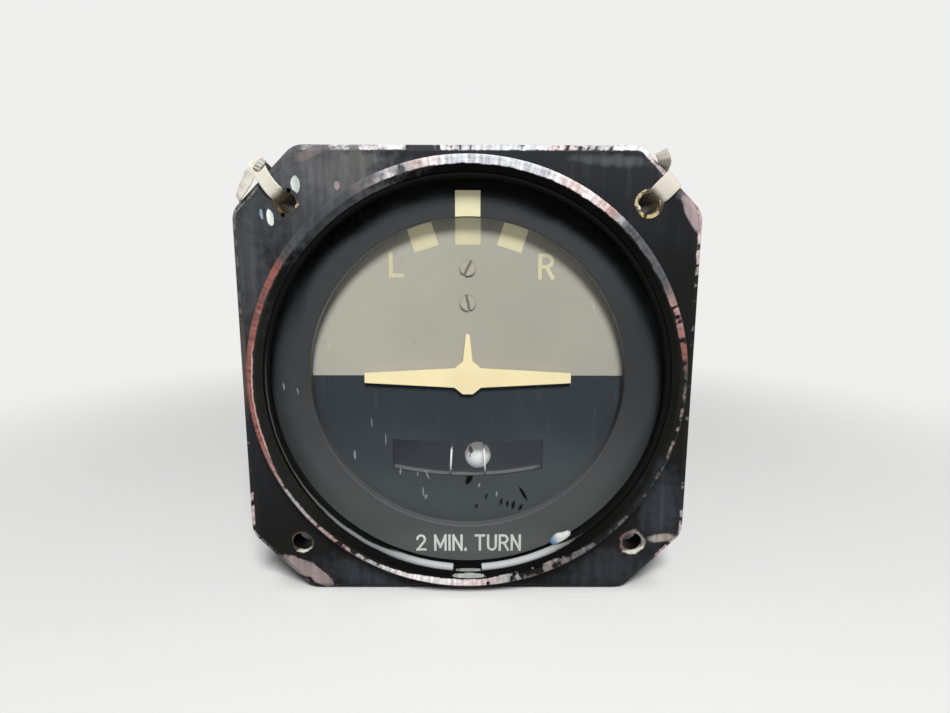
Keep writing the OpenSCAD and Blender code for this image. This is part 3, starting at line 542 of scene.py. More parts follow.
@dataclass(frozen=True)
class WornBlack:
    """Black bezel paint over red primer, worn along the rim's front and the flange's edge."""

    name: str
    colour: Colour = (0.0075, 0.0073, 0.007)
    # The blue-grey below is painted sheen on the flange's upper left.
    blue: Colour = (0.02, 0.022, 0.027)
    cut_sum: float = 71.35
    rim_front: float = -2.5
    rim_worn_r: Pair = (38.05, 38.25)
    lip_r: Pair = (38.25, 38.42)
    slope_r: Pair = (38.2, 37.6)
    lower_rings: tuple[Pair, ...] = ((-1, 2.1), (1, 2.42))
    rim_stops: tuple[Stop, ...] = (
        (-180, RED, 0.88), (-164, RED, 0.8), (-153, ROSE, 0.64), (-147, BARE, 0.6), (-128, ROSE, 0.56),
        (-118, BARE, 0.58), (-109, WHITE, 0.72), (-97, WHITE, 0.84), (-86, PALE_ROSE, 0.74), (-79, BARE, 0.56),
        (-66, DUSK, 0.5), (-50, SATIN_SHEEN, 0.52), (-30, SATIN_SHEEN, 0.46), (-22, DUSK, 0.56), (-7, DUSK, 0.54),
        (1, SHEEN, 0.5), (9, RED, 0.68), (21, ROSE, 0.64), (27, SATIN_SHEEN, 0.9), (46, SATIN_SHEEN, 0.95), (48, BARE, 0.6),
        (50, ROSE, 0.74), (54, PALE_ROSE, 0.7), (58, WHITE, 0.76), (62, PALE_ROSE, 0.84), (67, WHITE, 0.84),
        (70, LAVENDER_HIGHLIGHT, 0.92), (84, LAVENDER_HIGHLIGHT, 0.95), (95, LAVENDER_HIGHLIGHT, 0.92))
    rim_rest: tuple[Stop, ...] = (
        (95, LAVENDER_HIGHLIGHT, 0.92), (98, WHITE, 0.95), (103, PALE_ROSE, 0.9), (106, BARE, 0.55), (111, WHITE, 0.7),
        (114, BARE, 0.7), (119, ROSE, 0.58), (121, SHEEN, 0.9), (144, SHEEN, 0.85), (148, RED, 0.9), (180, RED, 0.92))
    edge_stops: tuple[Stop, ...] = (
        (-180, SATIN_SHEEN, 0.3), (-153, ROSE, 0.35), (-149, PALE_ROSE, 0.62), (-144, BARE, 0.62), (-138, SATIN_SHEEN, 0.5),
        (-122, SATIN_SHEEN, 0.32), (-56, SATIN_SHEEN, 0.25), (-46, ROSE, 0.4), (-38, PALE_ROSE, 0.6), (-32, BARE, 0.5),
        (-24, SATIN_SHEEN, 0.3), (22, SATIN_SHEEN, 0.4), (30, PALE_ROSE, 0.66), (38, ROSE, 0.72), (45, PALE_ROSE, 0.62),
        (55, WHITE, 0.68), (61, BARE, 0.56), (69, PALE_ROSE, 0.62), (72, LAVENDER_HIGHLIGHT, 0.72), (86, LAVENDER_HIGHLIGHT, 0.66),
        (92, BARE, 0.6), (96, WHITE, 0.58), (99, SATIN_SHEEN, 0.3), (103, SATIN_SHEEN, 0.25), (106, WHITE, 0.76),
        (116, WHITE, 0.78), (125, WHITE, 0.74), (130, DUSK, 0.6), (141, BARE, 0.66), (150, BARE, 0.66),
        (158, DUSK, 0.58), (180, SATIN_SHEEN, 0.3))
    chips_and_sheen: tuple[Blot, ...] = (
        # The soft grey and blue-grey patches, with soft edges of 0.6 to 0.8, are painted sheen; the others are chips,
        # dabs and wear.
        Blot((-27.0, 33.5), (15.0, 9.0), -44.0, (0.06, 0.063, 0.07), 0.7),
        Blot((-22.0, 36.5), (9.0, 4.5), -10.0, (0.115, 0.115, 0.118), 0.8),
        Blot((-39.0, 22.0), (3.0, 9.0), 0.0, (0.06, 0.063, 0.068), 0.8),
        Blot((-40.6, 4.0), (0.7, 9.0), 0.0, (0.085, 0.068, 0.063), 0.6),
        Blot((36.5, -24.5), (3.2, 6.5), 0.0, (0.036, 0.04, 0.05), 0.8),
        Blot((27.0, -37.0), (7.0, 3.5), 12.0, (0.027, 0.03, 0.036), 0.8),
        Blot((-20.0, -38.0), (7.0, 2.5), -14.0, (0.03, 0.033, 0.04), 0.8),
        Blot((-32.4, -36.5), (4.4, 1.7), -20.0, (0.27, 0.225, 0.22), 0.12, 0.35),
        Blot((-28.6, -38.6), (3.2, 1.35), -40.0, (0.28, 0.225, 0.215), 0.12, 0.35),
        Blot((36.9, -30.6), (2.3, 0.8), 4.0, (0.34, 0.3, 0.265), 0.35, 0.9),
        Blot((-27.6, 39.4), (2.6, 0.85), 14.0, (0.17, 0.145, 0.145), 0.3),
        Blot((-18.6, 38.3), (2.8, 1.4), -12.0, (0.12, 0.12, 0.115), 0.3),
        Blot((25.0, 38.6), (5.5, 0.9), -3.0, (0.075, 0.077, 0.084), 0.6),
        Blot((36.2, 34.0), (4.4, 0.9), -46.0, (0.07, 0.07, 0.074), 0.6),
        Blot((39.0, 29.8), (3.5, 1.0), -64.0, (0.36, 0.29, 0.29), 0.2, 0.35),
        Blot((-22.5, 34.4), (0.45, 0.75), 0.0, (0.34, 0.28, 0.26)),
        Blot((-29.65, 34.5), (0.78, 1.45), 2.0, (0.6, 0.66, 0.63), 0.08, 0.6),
        Blot((-34.25, 28.9), (0.6, 1.4), 10.0, (0.64, 0.69, 0.64), 0.08, 0.6),
        Blot((-35.75, 29.5), (0.28, 0.95), 8.0, (0.25, 0.34, 0.42)),
        Blot((0.3, -37.15), (3.3, 0.4), 0.0, (0.33, 0.36, 0.34)))

    @staticmethod
    def _ramp(at: Ground, stops: Sequence[Stop]) -> tuple[Value, Value]:
        """Colour and amount that follow the angle, from stops at angles in degrees."""
        return at.graph.ramp(at.angle, [(turn_share(angle), colour, amount) for angle, colour, amount in stops])

    def _along(self, at: Ground, breaks: Value, *runs: Sequence[Stop]) -> tuple[Value, Value, Value]:
        """Wear along the angle: colour and amount from ramps, broken up by noise.

        Args:
            at: Place and noise.
            breaks: Noise about zero that breaks the wear up.
            runs: Angle, colour and amount of the wear, in one or two runs of stops.

        Returns:
            The colour of the worn places, their mask and the amount before it is broken up.
        """
        graph = at.graph
        colour, amount = self._ramp(at, runs[0])
        for run in runs[1:]:
            start = run[0][0]
            later = at.angle.rise(turn_share(start - 1.0), turn_share(start))
            next_colour, next_amount = self._ramp(at, run)
            colour = graph.mix(later, colour, next_colour)
            amount = amount + (next_amount - amount) * later
        bands = graph.streaks(at.radius, 2.5) - 0.5
        bars = graph.streaks(at.angle, 380.0) - 0.5
        shade = (bars * 0.75 + bands * 0.6 + graph.swing(0.9, 3.0) * 0.9 + 0.5).clip()
        return graph.scaled(colour, shade * 1.4 + 0.3), (amount + breaks).rise(0.46, 0.58), amount

    def _rim(self, at: Ground, base: Value) -> tuple[Value, Value]:
        """Wear on the rim's front, which reaches down its outer side where it is heavy.

        Args:
            at: Place and noise.
            base: Colour so far.

        Returns:
            The colour with the wear, and the wear's mask.
        """
        graph, x, z, lumps, fine = at.graph, at.x, at.z, at.lumps, at.fine
        narrow = (x.rise(16.0, 26.0) * z.between(-34.0, 4.0, 4.0)).most(x.rise(-6.0, -14.0) * z.rise(-10.0, -18.0))
        lower_right = x.rise(2.0, 12.0) * z.rise(-30.0, -36.0)
        bars = at.bars() * (1.0 - narrow.most(lower_right) * 0.6)
        colour, worn, amount = self._along(at, bars + lumps * 0.9, self.rim_stops, self.rim_rest)
        reach = at.y - self.rim_front - amount * 0.55 + 0.02 + fine * 0.2 + lumps * 0.3 - lower_right * 0.7
        within = at.radius + z * z * 0.00026 + lower_right * 0.5 + fine * 0.2 + lumps * 0.5
        inner = (within - narrow * 0.5).rise(*self.rim_worn_r)
        lip = within.between(*self.lip_r, 0.08) * x.rise(-20.0, -28.0) * z.between(-24.0, 6.0, 3.0)
        colour = graph.mix(lip * 0.8, colour, (0.62, 0.5, 0.46))
        mask = worn * reach.rise(0.08, -0.08) * inner
        return graph.mix(mask, base, colour), mask

    def _edge(self, at: Ground, base: Value) -> tuple[Value, Value]:
        """Wear along the flange's edge and cut corners.

        Args:
            at: Place and noise.
            base: Colour so far.

        Returns:
            The colour with the wear, and the wear's mask.
        """
        flat = abs(at.x).most(abs(at.z)) - FLANGE_HALF
        cut = (abs(at.x) + abs(at.z) - self.cut_sum) / math.sqrt(2)
        colour, worn, _ = self._along(at, at.bars() + at.lumps * 0.7, self.edge_stops)
        near = (flat.most(cut) + at.fine * 0.3 + at.lumps * 0.5).rise(-1.1, -0.85)
        mask = worn * near * (at.y + at.fine * 0.6).rise(1.9, 1.5)
        return at.graph.mix(mask, base, colour), mask

    def _marks(self, at: Ground, base: Value, worn: Value, scuff: Value) -> tuple[Value, Value]:
        """Chips, dabs and soft patches of painted sheen on the front face.

        Args:
            at: Place and noise.
            base: Colour so far.
            worn: Mask of what is worn so far.
            scuff: Noise that shades the marks.

        Returns:
            The colour with the marks, and the new mask.
        """
        graph = at.graph
        front = at.y.rise(1.45, 1.25)
        for blot in self.chips_and_sheen:
            ragged = (at.lumps * (2.0 if min(blot.half) > 0.8 else 0.8) + at.fine * 0.4) * blot.ragged
            mark = graph.spot(blot.centre, blot.half, blot.turn, ragged, blot.soft) * front
            tint = graph.mix(scuff.rise(0.3, 0.7), toned(blot.colour, 0.75), toned(blot.colour, 1.2))
            base = graph.mix(mark, base, tint)
            worn = worn.most(mark) if blot.soft < 0.15 else worn
        return base, worn

    def _holes(self, at: Ground, base: Value, worn: Value) -> tuple[Value, Value]:
        """Worn rings in the two lower holes, brightest at the bottom, with painted shade deep inside.

        Args:
            at: Place and noise.
            base: Colour so far.
            worn: Mask of what is worn so far.

        Returns:
            The colour with the rings, and the new mask.
        """
        graph, lumps = at.graph, at.lumps
        for side, reach in self.lower_rings:
            ring = graph.spot((side * HOLE_AT, -HOLE_AT), (reach, reach), 0.0, lumps * 0.5 + at.fine * 0.2)
            low = (at.z + HOLE_AT + lumps * 1.2 - at.x * 0.3 + side * HOLE_AT * 0.3).rise(-1.3, -1.9)
            tan = graph.mix((at.x - side * HOLE_AT).rise(-0.8, 0.8), (0.15, 0.1, 0.085), (0.23, 0.215, 0.19))
            pale = graph.mix(low, (0.09, 0.065, 0.045) if side < 0 else tan, (0.72, 0.69, 0.62))
            # Painted shade: deep in the hole the wall turns near black.
            mouth = (at.y + lumps * 0.6).rise(0.75, 0.3)
            base = graph.mix(ring, base, graph.mix(mouth, (0.004, 0.0035, 0.003), pale))
            worn = worn.most(ring)
        return base, worn

    def material(self) -> Material:
        """Paint with painted sheen and shade; worn strips on the rim and the edge, chips, dabs and bright rings in the
        lower holes.

        Returns:
            The finished material.
        """
        graph = Graph(self.name)
        at = Ground.of(graph)
        drift = graph.noise(0.07, 4.0)
        scuff = graph.stretched((0.7, 0.5, 0.06), 4.0)
        # Painted sheen: the paint turns blue-grey towards the upper left, where the light falls on it.
        lit = (at.z - at.x * 0.6 + (drift - 0.5) * 60.0).rise(-20.0, 45.0)
        base = graph.mix(lit, self.colour, self.blue)
        # Painted shade on the rim's inner slope: near black at the top and the bottom, a little lighter on the left.
        slope = at.radius.rise(*self.slope_r)
        inside = graph.mix(at.x.rise(20.0, -20.0), (0.0065, 0.0066, 0.006), (0.0125, 0.0126, 0.0115))
        inside = graph.mix(at.z.between(-26.0, 18.0, 8.0), (0.0012, 0.0012, 0.0011), inside)
        base, rim = self._rim(at, graph.mix(slope, base, inside))
        base, edge = self._edge(at, base)
        base, worn = self._marks(at, base, rim.most(edge), scuff)
        base, worn = self._holes(at, base, worn)
        # Painted sheen: soft blue-grey streaks over the paint that is not worn.
        sheen_streaks = scuff.rise(0.5, 0.75) * drift.rise(0.3, 0.7) * (1.0 - worn) * (1.0 - slope)
        base = graph.mix(sheen_streaks * 0.3, base, (0.06, 0.064, 0.073))
        rough = 0.48 + (drift - 0.5) * 0.3 + (scuff - 0.5) * 0.25 + worn * 0.2 + slope * 0.45
        height = 1.0 - worn * 0.7 + at.fine * 0.12
        return graph.surface(base, rough, height, 0.025, Metallic=worn * 0.08, Specular_IOR_Level=0.09)


@dataclass(frozen=True)
class NutBrass:
    """Brass nuts partly covered by the bezel's paint, with a bore that is dark brown with dirt and painted shade."""

    name: str
    bore_r: float = 1.85
    brass: Colour = (0.62, 0.5, 0.27)

    def material(self) -> Material:
        """Brass on the front face, paint in ragged patches over it, and dirt with painted shade inside.

        Returns:
            The finished material.
        """
        graph = Graph(self.name)
        x, y, z = graph.xyz()
        away = length(abs(x) - HOLE_AT, z - HOLE_AT)
        cloud = graph.noise(0.7, 4.0)
        bore = (away + (cloud - 0.5) * 0.3).rise(self.bore_r + 0.12, self.bore_r + 0.02) * y.rise(-0.1, 0.35)
        cover = (cloud - x * 0.0028).rise(0.37, 0.49)
        base = graph.mix(graph.noise(1.5, 3.0), self.brass, (0.36, 0.26, 0.12))
        base = graph.mix(cover, base, (0.012, 0.011, 0.01))
        # The bore's dark brown is dirt and painted shade.
        base = graph.mix(bore, base, graph.mix(cloud.rise(0.42, 0.62), (0.07, 0.05, 0.02), (0.42, 0.3, 0.12)))
        bright = ((1.0 - cover) * (1.0 - bore * 0.6) * 0.7).clip()
        return graph.surface(base, 0.42 + cloud * 0.2, cloud, 0.02, Metallic=bright)


@dataclass(frozen=True)
class SpringWire:
    """Wire of the snap ring: black with old paint, with a painted highlight along its crest and over the bottom, which
    is also rubbed.
    """

    name: str
    dark: Colour = (0.0035, 0.0035, 0.0034)
    # The line and flank colours are a painted highlight along the crest; the rubbed colour is the bottom, rubbed wire
    # with painted highlight.
    line: Colour = (0.11, 0.112, 0.11)
    flank_highlight: Colour = (0.2, 0.205, 0.21)
    rubbed: Colour = (0.44, 0.45, 0.465)
    centre_r: float = 36.22
    wire_r: float = 0.7

    def material(self) -> Material:
        """A grey painted highlight on the crest that widens towards the bottom; on the right only the lowest part is
        pale.

        Returns:
            The finished material.
        """
        graph = Graph(self.name)
        x, _, z = graph.xyz()
        cloud = graph.swing(0.5, 4.0)
        low = (z + cloud * 3.0 + x.rise(12.0, 20.0) * 10.0).rise(-14.0, -32.0)
        bottom = (abs(x - 3.0) + cloud * 3.0).rise(22.0, 8.0) * low
        half = low * 0.28 + bottom * self.wire_r + 0.05
        crest = half - abs(length(x, z) - self.centre_r + 0.12 + cloud * 0.25)
        left = z.rise(9.0, -4.0) * x.rise(12.0, 0.0)
        # Painted highlight: a grey line along the crest that widens towards the bottom, where the wire is also rubbed.
        bare_and_lit = crest.rise(-0.12, 0.12) * left.most(low.rise(0.15, 0.4))
        grain = graph.noise(2.0, 3.0)
        pale = graph.mix(bottom, graph.mix(low.rise(0.45, 0.97), self.line, self.flank_highlight), self.rubbed)
        base = graph.mix(bare_and_lit, self.dark, pale)
        return graph.surface(base, 0.62 + grain * 0.2, grain, 0.008, Metallic=bare_and_lit * 0.15, Specular_IOR_Level=0.06)


@dataclass(frozen=True)
class HorizonPaint:
    """Dial disc: matt grey sky over a dark ground, with faint scuffs and dark marks."""

    name: str
    sky: Colour = (0.375, 0.355, 0.305)
    ground: Colour = (0.034, 0.041, 0.048)
    low_ground: Colour = (0.066, 0.074, 0.081)
    dark_marks: tuple[Blot, ...] = (
        # Dark marks on the ground; the first two lie just under the ball.
        Blot((0.25, -20.7), (1.35, 0.55), 66.0, (0.003, 0.003, 0.002), 0.2),
        Blot((1.1, -19.65), (0.9, 0.4), 12.0, (0.004, 0.004, 0.003), 0.2),
        Blot((3.64, -24.3), (0.55, 0.25), 75.0, (0.012, 0.012, 0.013), 0.5),
        Blot((6.58, -25.4), (0.75, 0.3), 80.0, (0.01, 0.01, 0.011), 0.5),
        Blot((7.8, -25.8), (0.7, 0.25), 85.0, (0.008, 0.008, 0.009), 0.5),
        Blot((8.98, -26.2), (0.85, 0.3), 80.0, (0.006, 0.006, 0.007), 0.5),
        Blot((10.45, -26.6), (0.7, 0.35), 60.0, (0.008, 0.008, 0.009), 0.5),
        Blot((10.9, -23.7), (1.5, 0.3), -60.0, (0.004, 0.004, 0.005), 0.3),
        Blot((1.71, -26.3), (0.5, 0.35), 70.0, (0.03, 0.016, 0.016), 0.5))

    def material(self) -> Material:
        """Two flat paints that meet on the horizon.

        Returns:
            The finished material.
        """
        graph = Graph(self.name)
        x, y, z = graph.xyz()
        cloud = graph.noise(0.1, 3.0)
        grain = graph.noise(1.6, 2.0)
        soil = graph.stretched((0.5, 0.5, 0.09), 3.0).rise(0.55, 0.8)
        side = (cloud * 0.7 + x.rise(12.0, -26.0) * 0.6).clip()
        sky = graph.mix(side, toned(self.sky, 0.95), toned(self.sky, 1.13))
        sky = graph.mix(graph.noise(0.55, 5.0).rise(0.68, 0.78) * 0.35, sky, (0.2, 0.19, 0.17))
        ground = graph.mix((z + (cloud - 0.5) * 16.0).rise(-4.0, -26.0), self.ground, self.low_ground)
        ground = graph.mix(soil * 0.25, ground, (0.085, 0.09, 0.095))
        ragged = graph.swing(0.9, 4.0) * 0.9
        for dark_blot in self.dark_marks:
            mark = graph.spot(dark_blot.centre, dark_blot.half, dark_blot.turn, ragged, dark_blot.soft)
            ground = graph.mix(mark, ground, dark_blot.colour)
        front = y.rise(5.35, 5.25)
        base = graph.mix((z + (grain - 0.5) * 0.12).rise(-0.05, 0.05), ground, sky)
        base = graph.mix(front, (0.03, 0.031, 0.033), base)
        rough = 0.62 + (grain - 0.5) * 0.2 - soil * 0.12
        return graph.surface(base, rough, grain, 0.003, Specular_IOR_Level=0.06)


@dataclass(frozen=True)
class MaskPaint:
    """Matt dark grey of the mask, a little paler below, with a painted highlight line round the lower part of its bore.
    """

    name: str
    upper: Colour = (0.046, 0.048, 0.051)
    lower: Colour = (0.085, 0.087, 0.088)
    bore_r: float = 29.2

    def material(self) -> Material:
        """Grey that drifts from the upper to the lower colour, with painted shade near the rim and painted light on the
        bore's edge and upper wall.

        Returns:
            The finished material.
        """
        graph = Graph(self.name)
        x, _, z = graph.xyz()
        cloud = graph.noise(0.09, 3.0)
        grain = graph.noise(1.6, 2.0)
        base = graph.mix((z + (cloud - 0.5) * 24.0).rise(6.0, -34.0), self.upper, self.lower)
        radius = length(x, z)
        # Painted highlight: a pale line on the lower edge of the bore.
        line = radius.rise(self.bore_r + 0.3, self.bore_r + 0.05) * z.rise(0.0, -20.0)
        base = graph.mix(line * 0.25, base, (0.16, 0.165, 0.17))
        # Painted light on the upper wall of the bore, which the mask's own edge shades.
        wall = radius.rise(self.bore_r + 0.04, self.bore_r + 0.01) * z.rise(-6.0, 12.0)
        base = graph.mix(wall, base, (0.3, 0.3, 0.29))
        shade = (radius + (cloud - 0.5) * 4.0).rise(31.8, 34.2) * z.rise(2.0, 26.0)
        # Painted shade near the rim on both sides, and a little over the right side.
        beside = radius.rise(32.5, 36.5) * z.between(-22.0, 10.0, 8.0) * 0.6
        beside = beside.most(x.rise(14.0, 32.0) * z.between(-14.0, 16.0, 10.0) * 0.3)
        base = graph.mix(z.rise(-28.5, -34.0) * 0.35, base, (0.15, 0.152, 0.153))
        base = graph.mix(beside, base, (0.018, 0.018, 0.018))
        base = graph.mix(shade, base, (0.0025, 0.0025, 0.0025))
        return graph.surface(base, 0.62 + (grain - 0.5) * 0.2, grain, 0.003, Specular_IOR_Level=0.06)


@dataclass(frozen=True)
class SlottedScrew:
    """Screw heads painted with the dial: a dark line round each head and a dark slot."""

    name: str
    face_y: float = 4.55
    colour: Colour = (0.4, 0.37, 0.305)

    def material(self) -> Material:
        """Dial grey on the face, dark below it and towards the edge.

        Returns:
            The finished material.
        """
        graph = Graph(self.name)
        x, y, z = graph.xyz()
        upper, lower = (abs(z - height) for height in DISC_SCREWS_Z)
        away = length(x, upper.least(lower))
        cloud = graph.noise(0.9, 3.0)
        ring = (away + (cloud - 0.5) * 0.3).rise(DISC_SCREW_R - 0.3, DISC_SCREW_R - 0.1) * 0.75
        deep = (y + (cloud - 0.5) * 0.05).rise(self.face_y + 0.03, self.face_y + 0.1)
        base = graph.mix(cloud, toned(self.colour, 0.9), toned(self.colour, 1.1))
        base = graph.mix(deep, graph.mix(ring, base, (0.29, 0.268, 0.218)), (0.17, 0.158, 0.128))
        return graph.surface(base, 0.45 + cloud * 0.25, cloud, 0.01, Metallic=0.1, Specular_IOR_Level=0.3)


@dataclass(frozen=True)
class ClearGlass:
    """Thin clear glass with a faint reflection at its front face and short scratches."""

    name: str
    tint: Colour = (0.99, 0.995, 0.993)
    index: float = 1.06
    polish: float = 0.03
    mirror: Colour = (0.3, 0.3, 0.3)
    scratches: tuple[Scratch, ...] = ()

    def material(self) -> Material:
        """Clear through, glossy by angle on the outside, matt white in the scratches.

        Returns:
            The finished material.
        """
        graph = Graph(self.name)
        outside = 1.0 - graph.node("ShaderNodeNewGeometry", output="Backfacing")
        sheen = graph.node("ShaderNodeFresnel", inputs={"IOR": self.index}) * outside
        clear = graph.node("ShaderNodeBsdfTransparent", inputs={"Color": self.tint})
        gloss = graph.node("ShaderNodeBsdfGlossy", inputs={"Color": self.mirror, "Roughness": self.polish})
        pane = graph.node("ShaderNodeMixShader", inputs={0: sheen, 1: clear, 2: gloss})
        if not self.scratches:
            return graph.close(pane)
        ragged = graph.swing(0.9, 3.0) * 0.8
        marks = (graph.spot((x, z), (half_long, half_wide), turn, ragged, 0.25) * 0.3
                 for x, z, half_long, half_wide, turn in self.scratches)
        matt = graph.node("ShaderNodeBsdfPrincipled", inputs={"Base Color": (0.6, 0.6, 0.6), "Roughness": 0.8})
        scratched = (reduce(Value.most, marks) * outside).clip()
        return graph.close(graph.node("ShaderNodeMixShader", inputs={0: scratched, 1: pane, 2: matt}))


@dataclass(frozen=True)
class GlazedBall:
    """White glazed ball with a few dark rust specks, glowing a little as painted light that lifts its shaded top."""

    name: str
    colour: Colour = (0.62, 0.625, 0.63)
    glow: float = 0.32
    specks: tuple[tuple[float, float, float, float], ...] = ((0.6, -16.0, 0.42, 0.55), (0.42, -17.0, 0.12, 0.35))

    def material(self) -> Material:
        """Glossy white with specks where the glaze has stained, and a faint glow of painted light.

        Returns:
            The finished material.
        """
        graph = Graph(self.name)
        ragged = graph.swing(1.8, 3.0) * 0.9
        base = graph.mix(graph.noise(0.5, 3.0), self.colour, (0.55, 0.555, 0.56))
        for px, pz, half_x, half_z in self.specks:
            base = graph.mix(graph.spot((px, pz), (half_x, half_z), 0.0, ragged) * 0.85, base, (0.1, 0.035, 0.03))
        grain = graph.noise(3.0, 2.0)
        return graph.surface(base, 0.5 + grain * 0.12, grain, 0.004, Specular_IOR_Level=0.15,
                             Emission_Color=graph.scaled(base, self.glow), Emission_Strength=1.0)


@dataclass(frozen=True)
class BackPlate:
    """Slate paint of the front plate, with a faint glow of painted light behind the inclinometer's window."""

    name: str
    colour: Colour = (0.12, 0.135, 0.155)
    glow: Colour = (0.044, 0.049, 0.057)
    front_y: float = 13.8
    window: Pair = (2.0, -18.5)
    window_half: Pair = (21.0, 8.5)

    def material(self) -> Material:
        """Mottled slate; the painted light fades out away from the window and behind the front face.

        Returns:
            The finished material.
        """
        graph = Graph(self.name)
        _, y, _ = graph.xyz()
        cloud = graph.noise(0.15, 3.0)
        grain = graph.noise(1.6, 2.0)
        base = graph.mix(cloud, toned(self.colour, 0.8), self.colour)
        near = graph.spot(self.window, self.window_half, 0.0, (cloud - 0.5) * 0.6, 0.35)
        light = graph.mix(near * y.rise(self.front_y + 0.4, self.front_y + 0.1), BLACK, self.glow)
        return graph.surface(base, 0.75 + (grain - 0.5) * 0.2, grain, 0.006, Specular_IOR_Level=0.2,
                             Emission_Color=light, Emission_Strength=1.0)


@dataclass(frozen=True)
class WovenTape:
    """Waxed cotton lacing tape in plain weave, soiled where it passes through the nut."""

    name: str
    colour: Colour = (0.76, 0.73, 0.63)
    soil: Colour = (0.2, 0.13, 0.07)
    pitch: float = 0.3

    def material(self) -> Material:
        """Yarns over and under each other on the tape's own coordinates, in millimetres.

        Returns:
            The finished material.
        """
        graph = Graph(self.name)
        across, along, _ = graph.split(graph.node("ShaderNodeUVMap", {"uv_map": "weave"}))
        x, y, z = graph.xyz()
        warp, weft = ((way * (TURN / self.pitch)).sine() for way in (across, along))
        yarn = warp * weft * 0.5 + 0.5
        edge = abs((across * (math.pi / self.pitch)).sine())
        height = yarn * 0.6 + edge * 0.4
        away = length(abs(x) - HOLE_AT, z - HOLE_AT)
        dirt = (away + graph.swing(0.9, 3.0) * 1.6).rise(2.9, 1.6).most(y.rise(4.5, 7.5) * 0.4)
        base = graph.mix(graph.noise(0.8, 4.0).rise(0.45, 0.8) * 0.4, self.colour, (0.66, 0.6, 0.47))
        base = graph.mix(yarn.rise(0.5, 0.0) * 0.2, base, (0.5, 0.45, 0.35))
        base = graph.mix(dirt * 0.8, base, self.soil)
        return graph.surface(base, 0.72 + yarn * 0.15, height, 0.05, Sheen_Weight=0.25)


@dataclass(frozen=True)
class Laminate:
    """Brown paper laminate with a faint fibre grain."""

    name: str
    colour: Colour = (0.2, 0.105, 0.045)

    def material(self) -> Material:
        """Fibres as noise stretched along X.

        Returns:
            The finished material.
        """
        graph = Graph(self.name)
        fibre = graph.stretched((0.3, 3.0, 3.0), 4.0)
        base = graph.mix(fibre, toned(self.colour, 0.6), toned(self.colour, 1.35))
        return graph.surface(base, 0.35 + fibre * 0.25, fibre, 0.008)


@dataclass(frozen=True)
class CommutatorCopper:
    """Copper bars parted by dark slots, about the rotor's axis."""

    name: str
    bars: int = 18

    def material(self) -> Material:
        """Slots where the sine of the angle times the number of bars is near zero.

        Returns:
            The finished material.
        """
        graph = Graph(self.name)
        _, y, z = graph.xyz()
        angle = graph.math("ARCTAN2", z, y - ROTOR_Y)
        slot = abs((angle * (self.bars / 2)).sine()).rise(0.22, 0.12)
        track = graph.noise(0.8, 4.0)
        copper = graph.mix(track, (0.72, 0.34, 0.18), (0.4, 0.17, 0.09))
        base = graph.mix(slot, copper, (0.02, 0.016, 0.013))
        return graph.surface(base, 0.25 + track * 0.25 + slot * 0.4, 1.0 - slot, 0.12, Metallic=1.0 - slot)


@dataclass(frozen=True)
class SealantPaint:
    """Dab of inspection lacquer: white on one side, blue on the other."""

    name: str
    middle: Pair

    def material(self) -> Material:
        """White that turns blue towards the lower left.

        Returns:
            The finished material.
        """
        graph = Graph(self.name)
        x, _, z = graph.xyz()
        slope = (x - self.middle[0]) * 0.75 + (z - self.middle[1]) * 0.65 + graph.swing(1.3, 3.0) * 1.6
        base = graph.mix(slope.rise(-1.3, 0.2), (0.11, 0.21, 0.34), (0.5, 0.53, 0.5))
        grain = graph.noise(2.0, 3.0)
        return graph.surface(base, 0.3 + grain * 0.3, grain, 0.06)


@dataclass(frozen=True)
class PaleFloor:
    """Plain pale studio paper, which the camera sees fade to white away from the object."""

    name: str
    colour: Colour = (0.82, 0.82, 0.815)
    dim: Colour = (0.3, 0.3, 0.3)
    # The under colour is a painted shadow beneath the case.
    under: Colour = (0.12, 0.12, 0.12)
    centre_y: float = 50.0
    fade: Pair = (70.0, 240.0)
    far: Colour = (0.86, 0.86, 0.855)

    def material(self) -> Material:
        """Pale paper for the eye and for reflections, greyer for the light it throws back, with a painted shadow under
        the case.

        Away from the object the eye sees plain near-white instead of the lit paper.

        Returns:
            The finished material.
        """
        graph = Graph(self.name)
        x, y, _ = graph.xyz()
        seen = graph.seen()
        drift = graph.mix(graph.noise(0.004, 2.0), toned(self.colour, 0.985), self.colour)
        off = y - self.centre_y
        # Painted shadow: the paper turns dark grey under the case.
        below = abs(x).rise(40.0, 30.0) * abs(off).rise(52.0, 42.0)
        base = graph.mix(below, graph.mix(seen, self.dim, drift), self.under)
        paper = graph.node("ShaderNodeBsdfPrincipled", inputs={
            "Base Color": base, "Roughness": 0.85, "Specular IOR Level": 0.2})
        glow = graph.node("ShaderNodeEmission", inputs={"Color": self.far})
        away = length(x, off).rise(*self.fade)
        return graph.close(graph.node("ShaderNodeMixShader", inputs={0: seen * away, 1: paper, 2: glow}))


# ---------------------------------------------------------------- surfaces


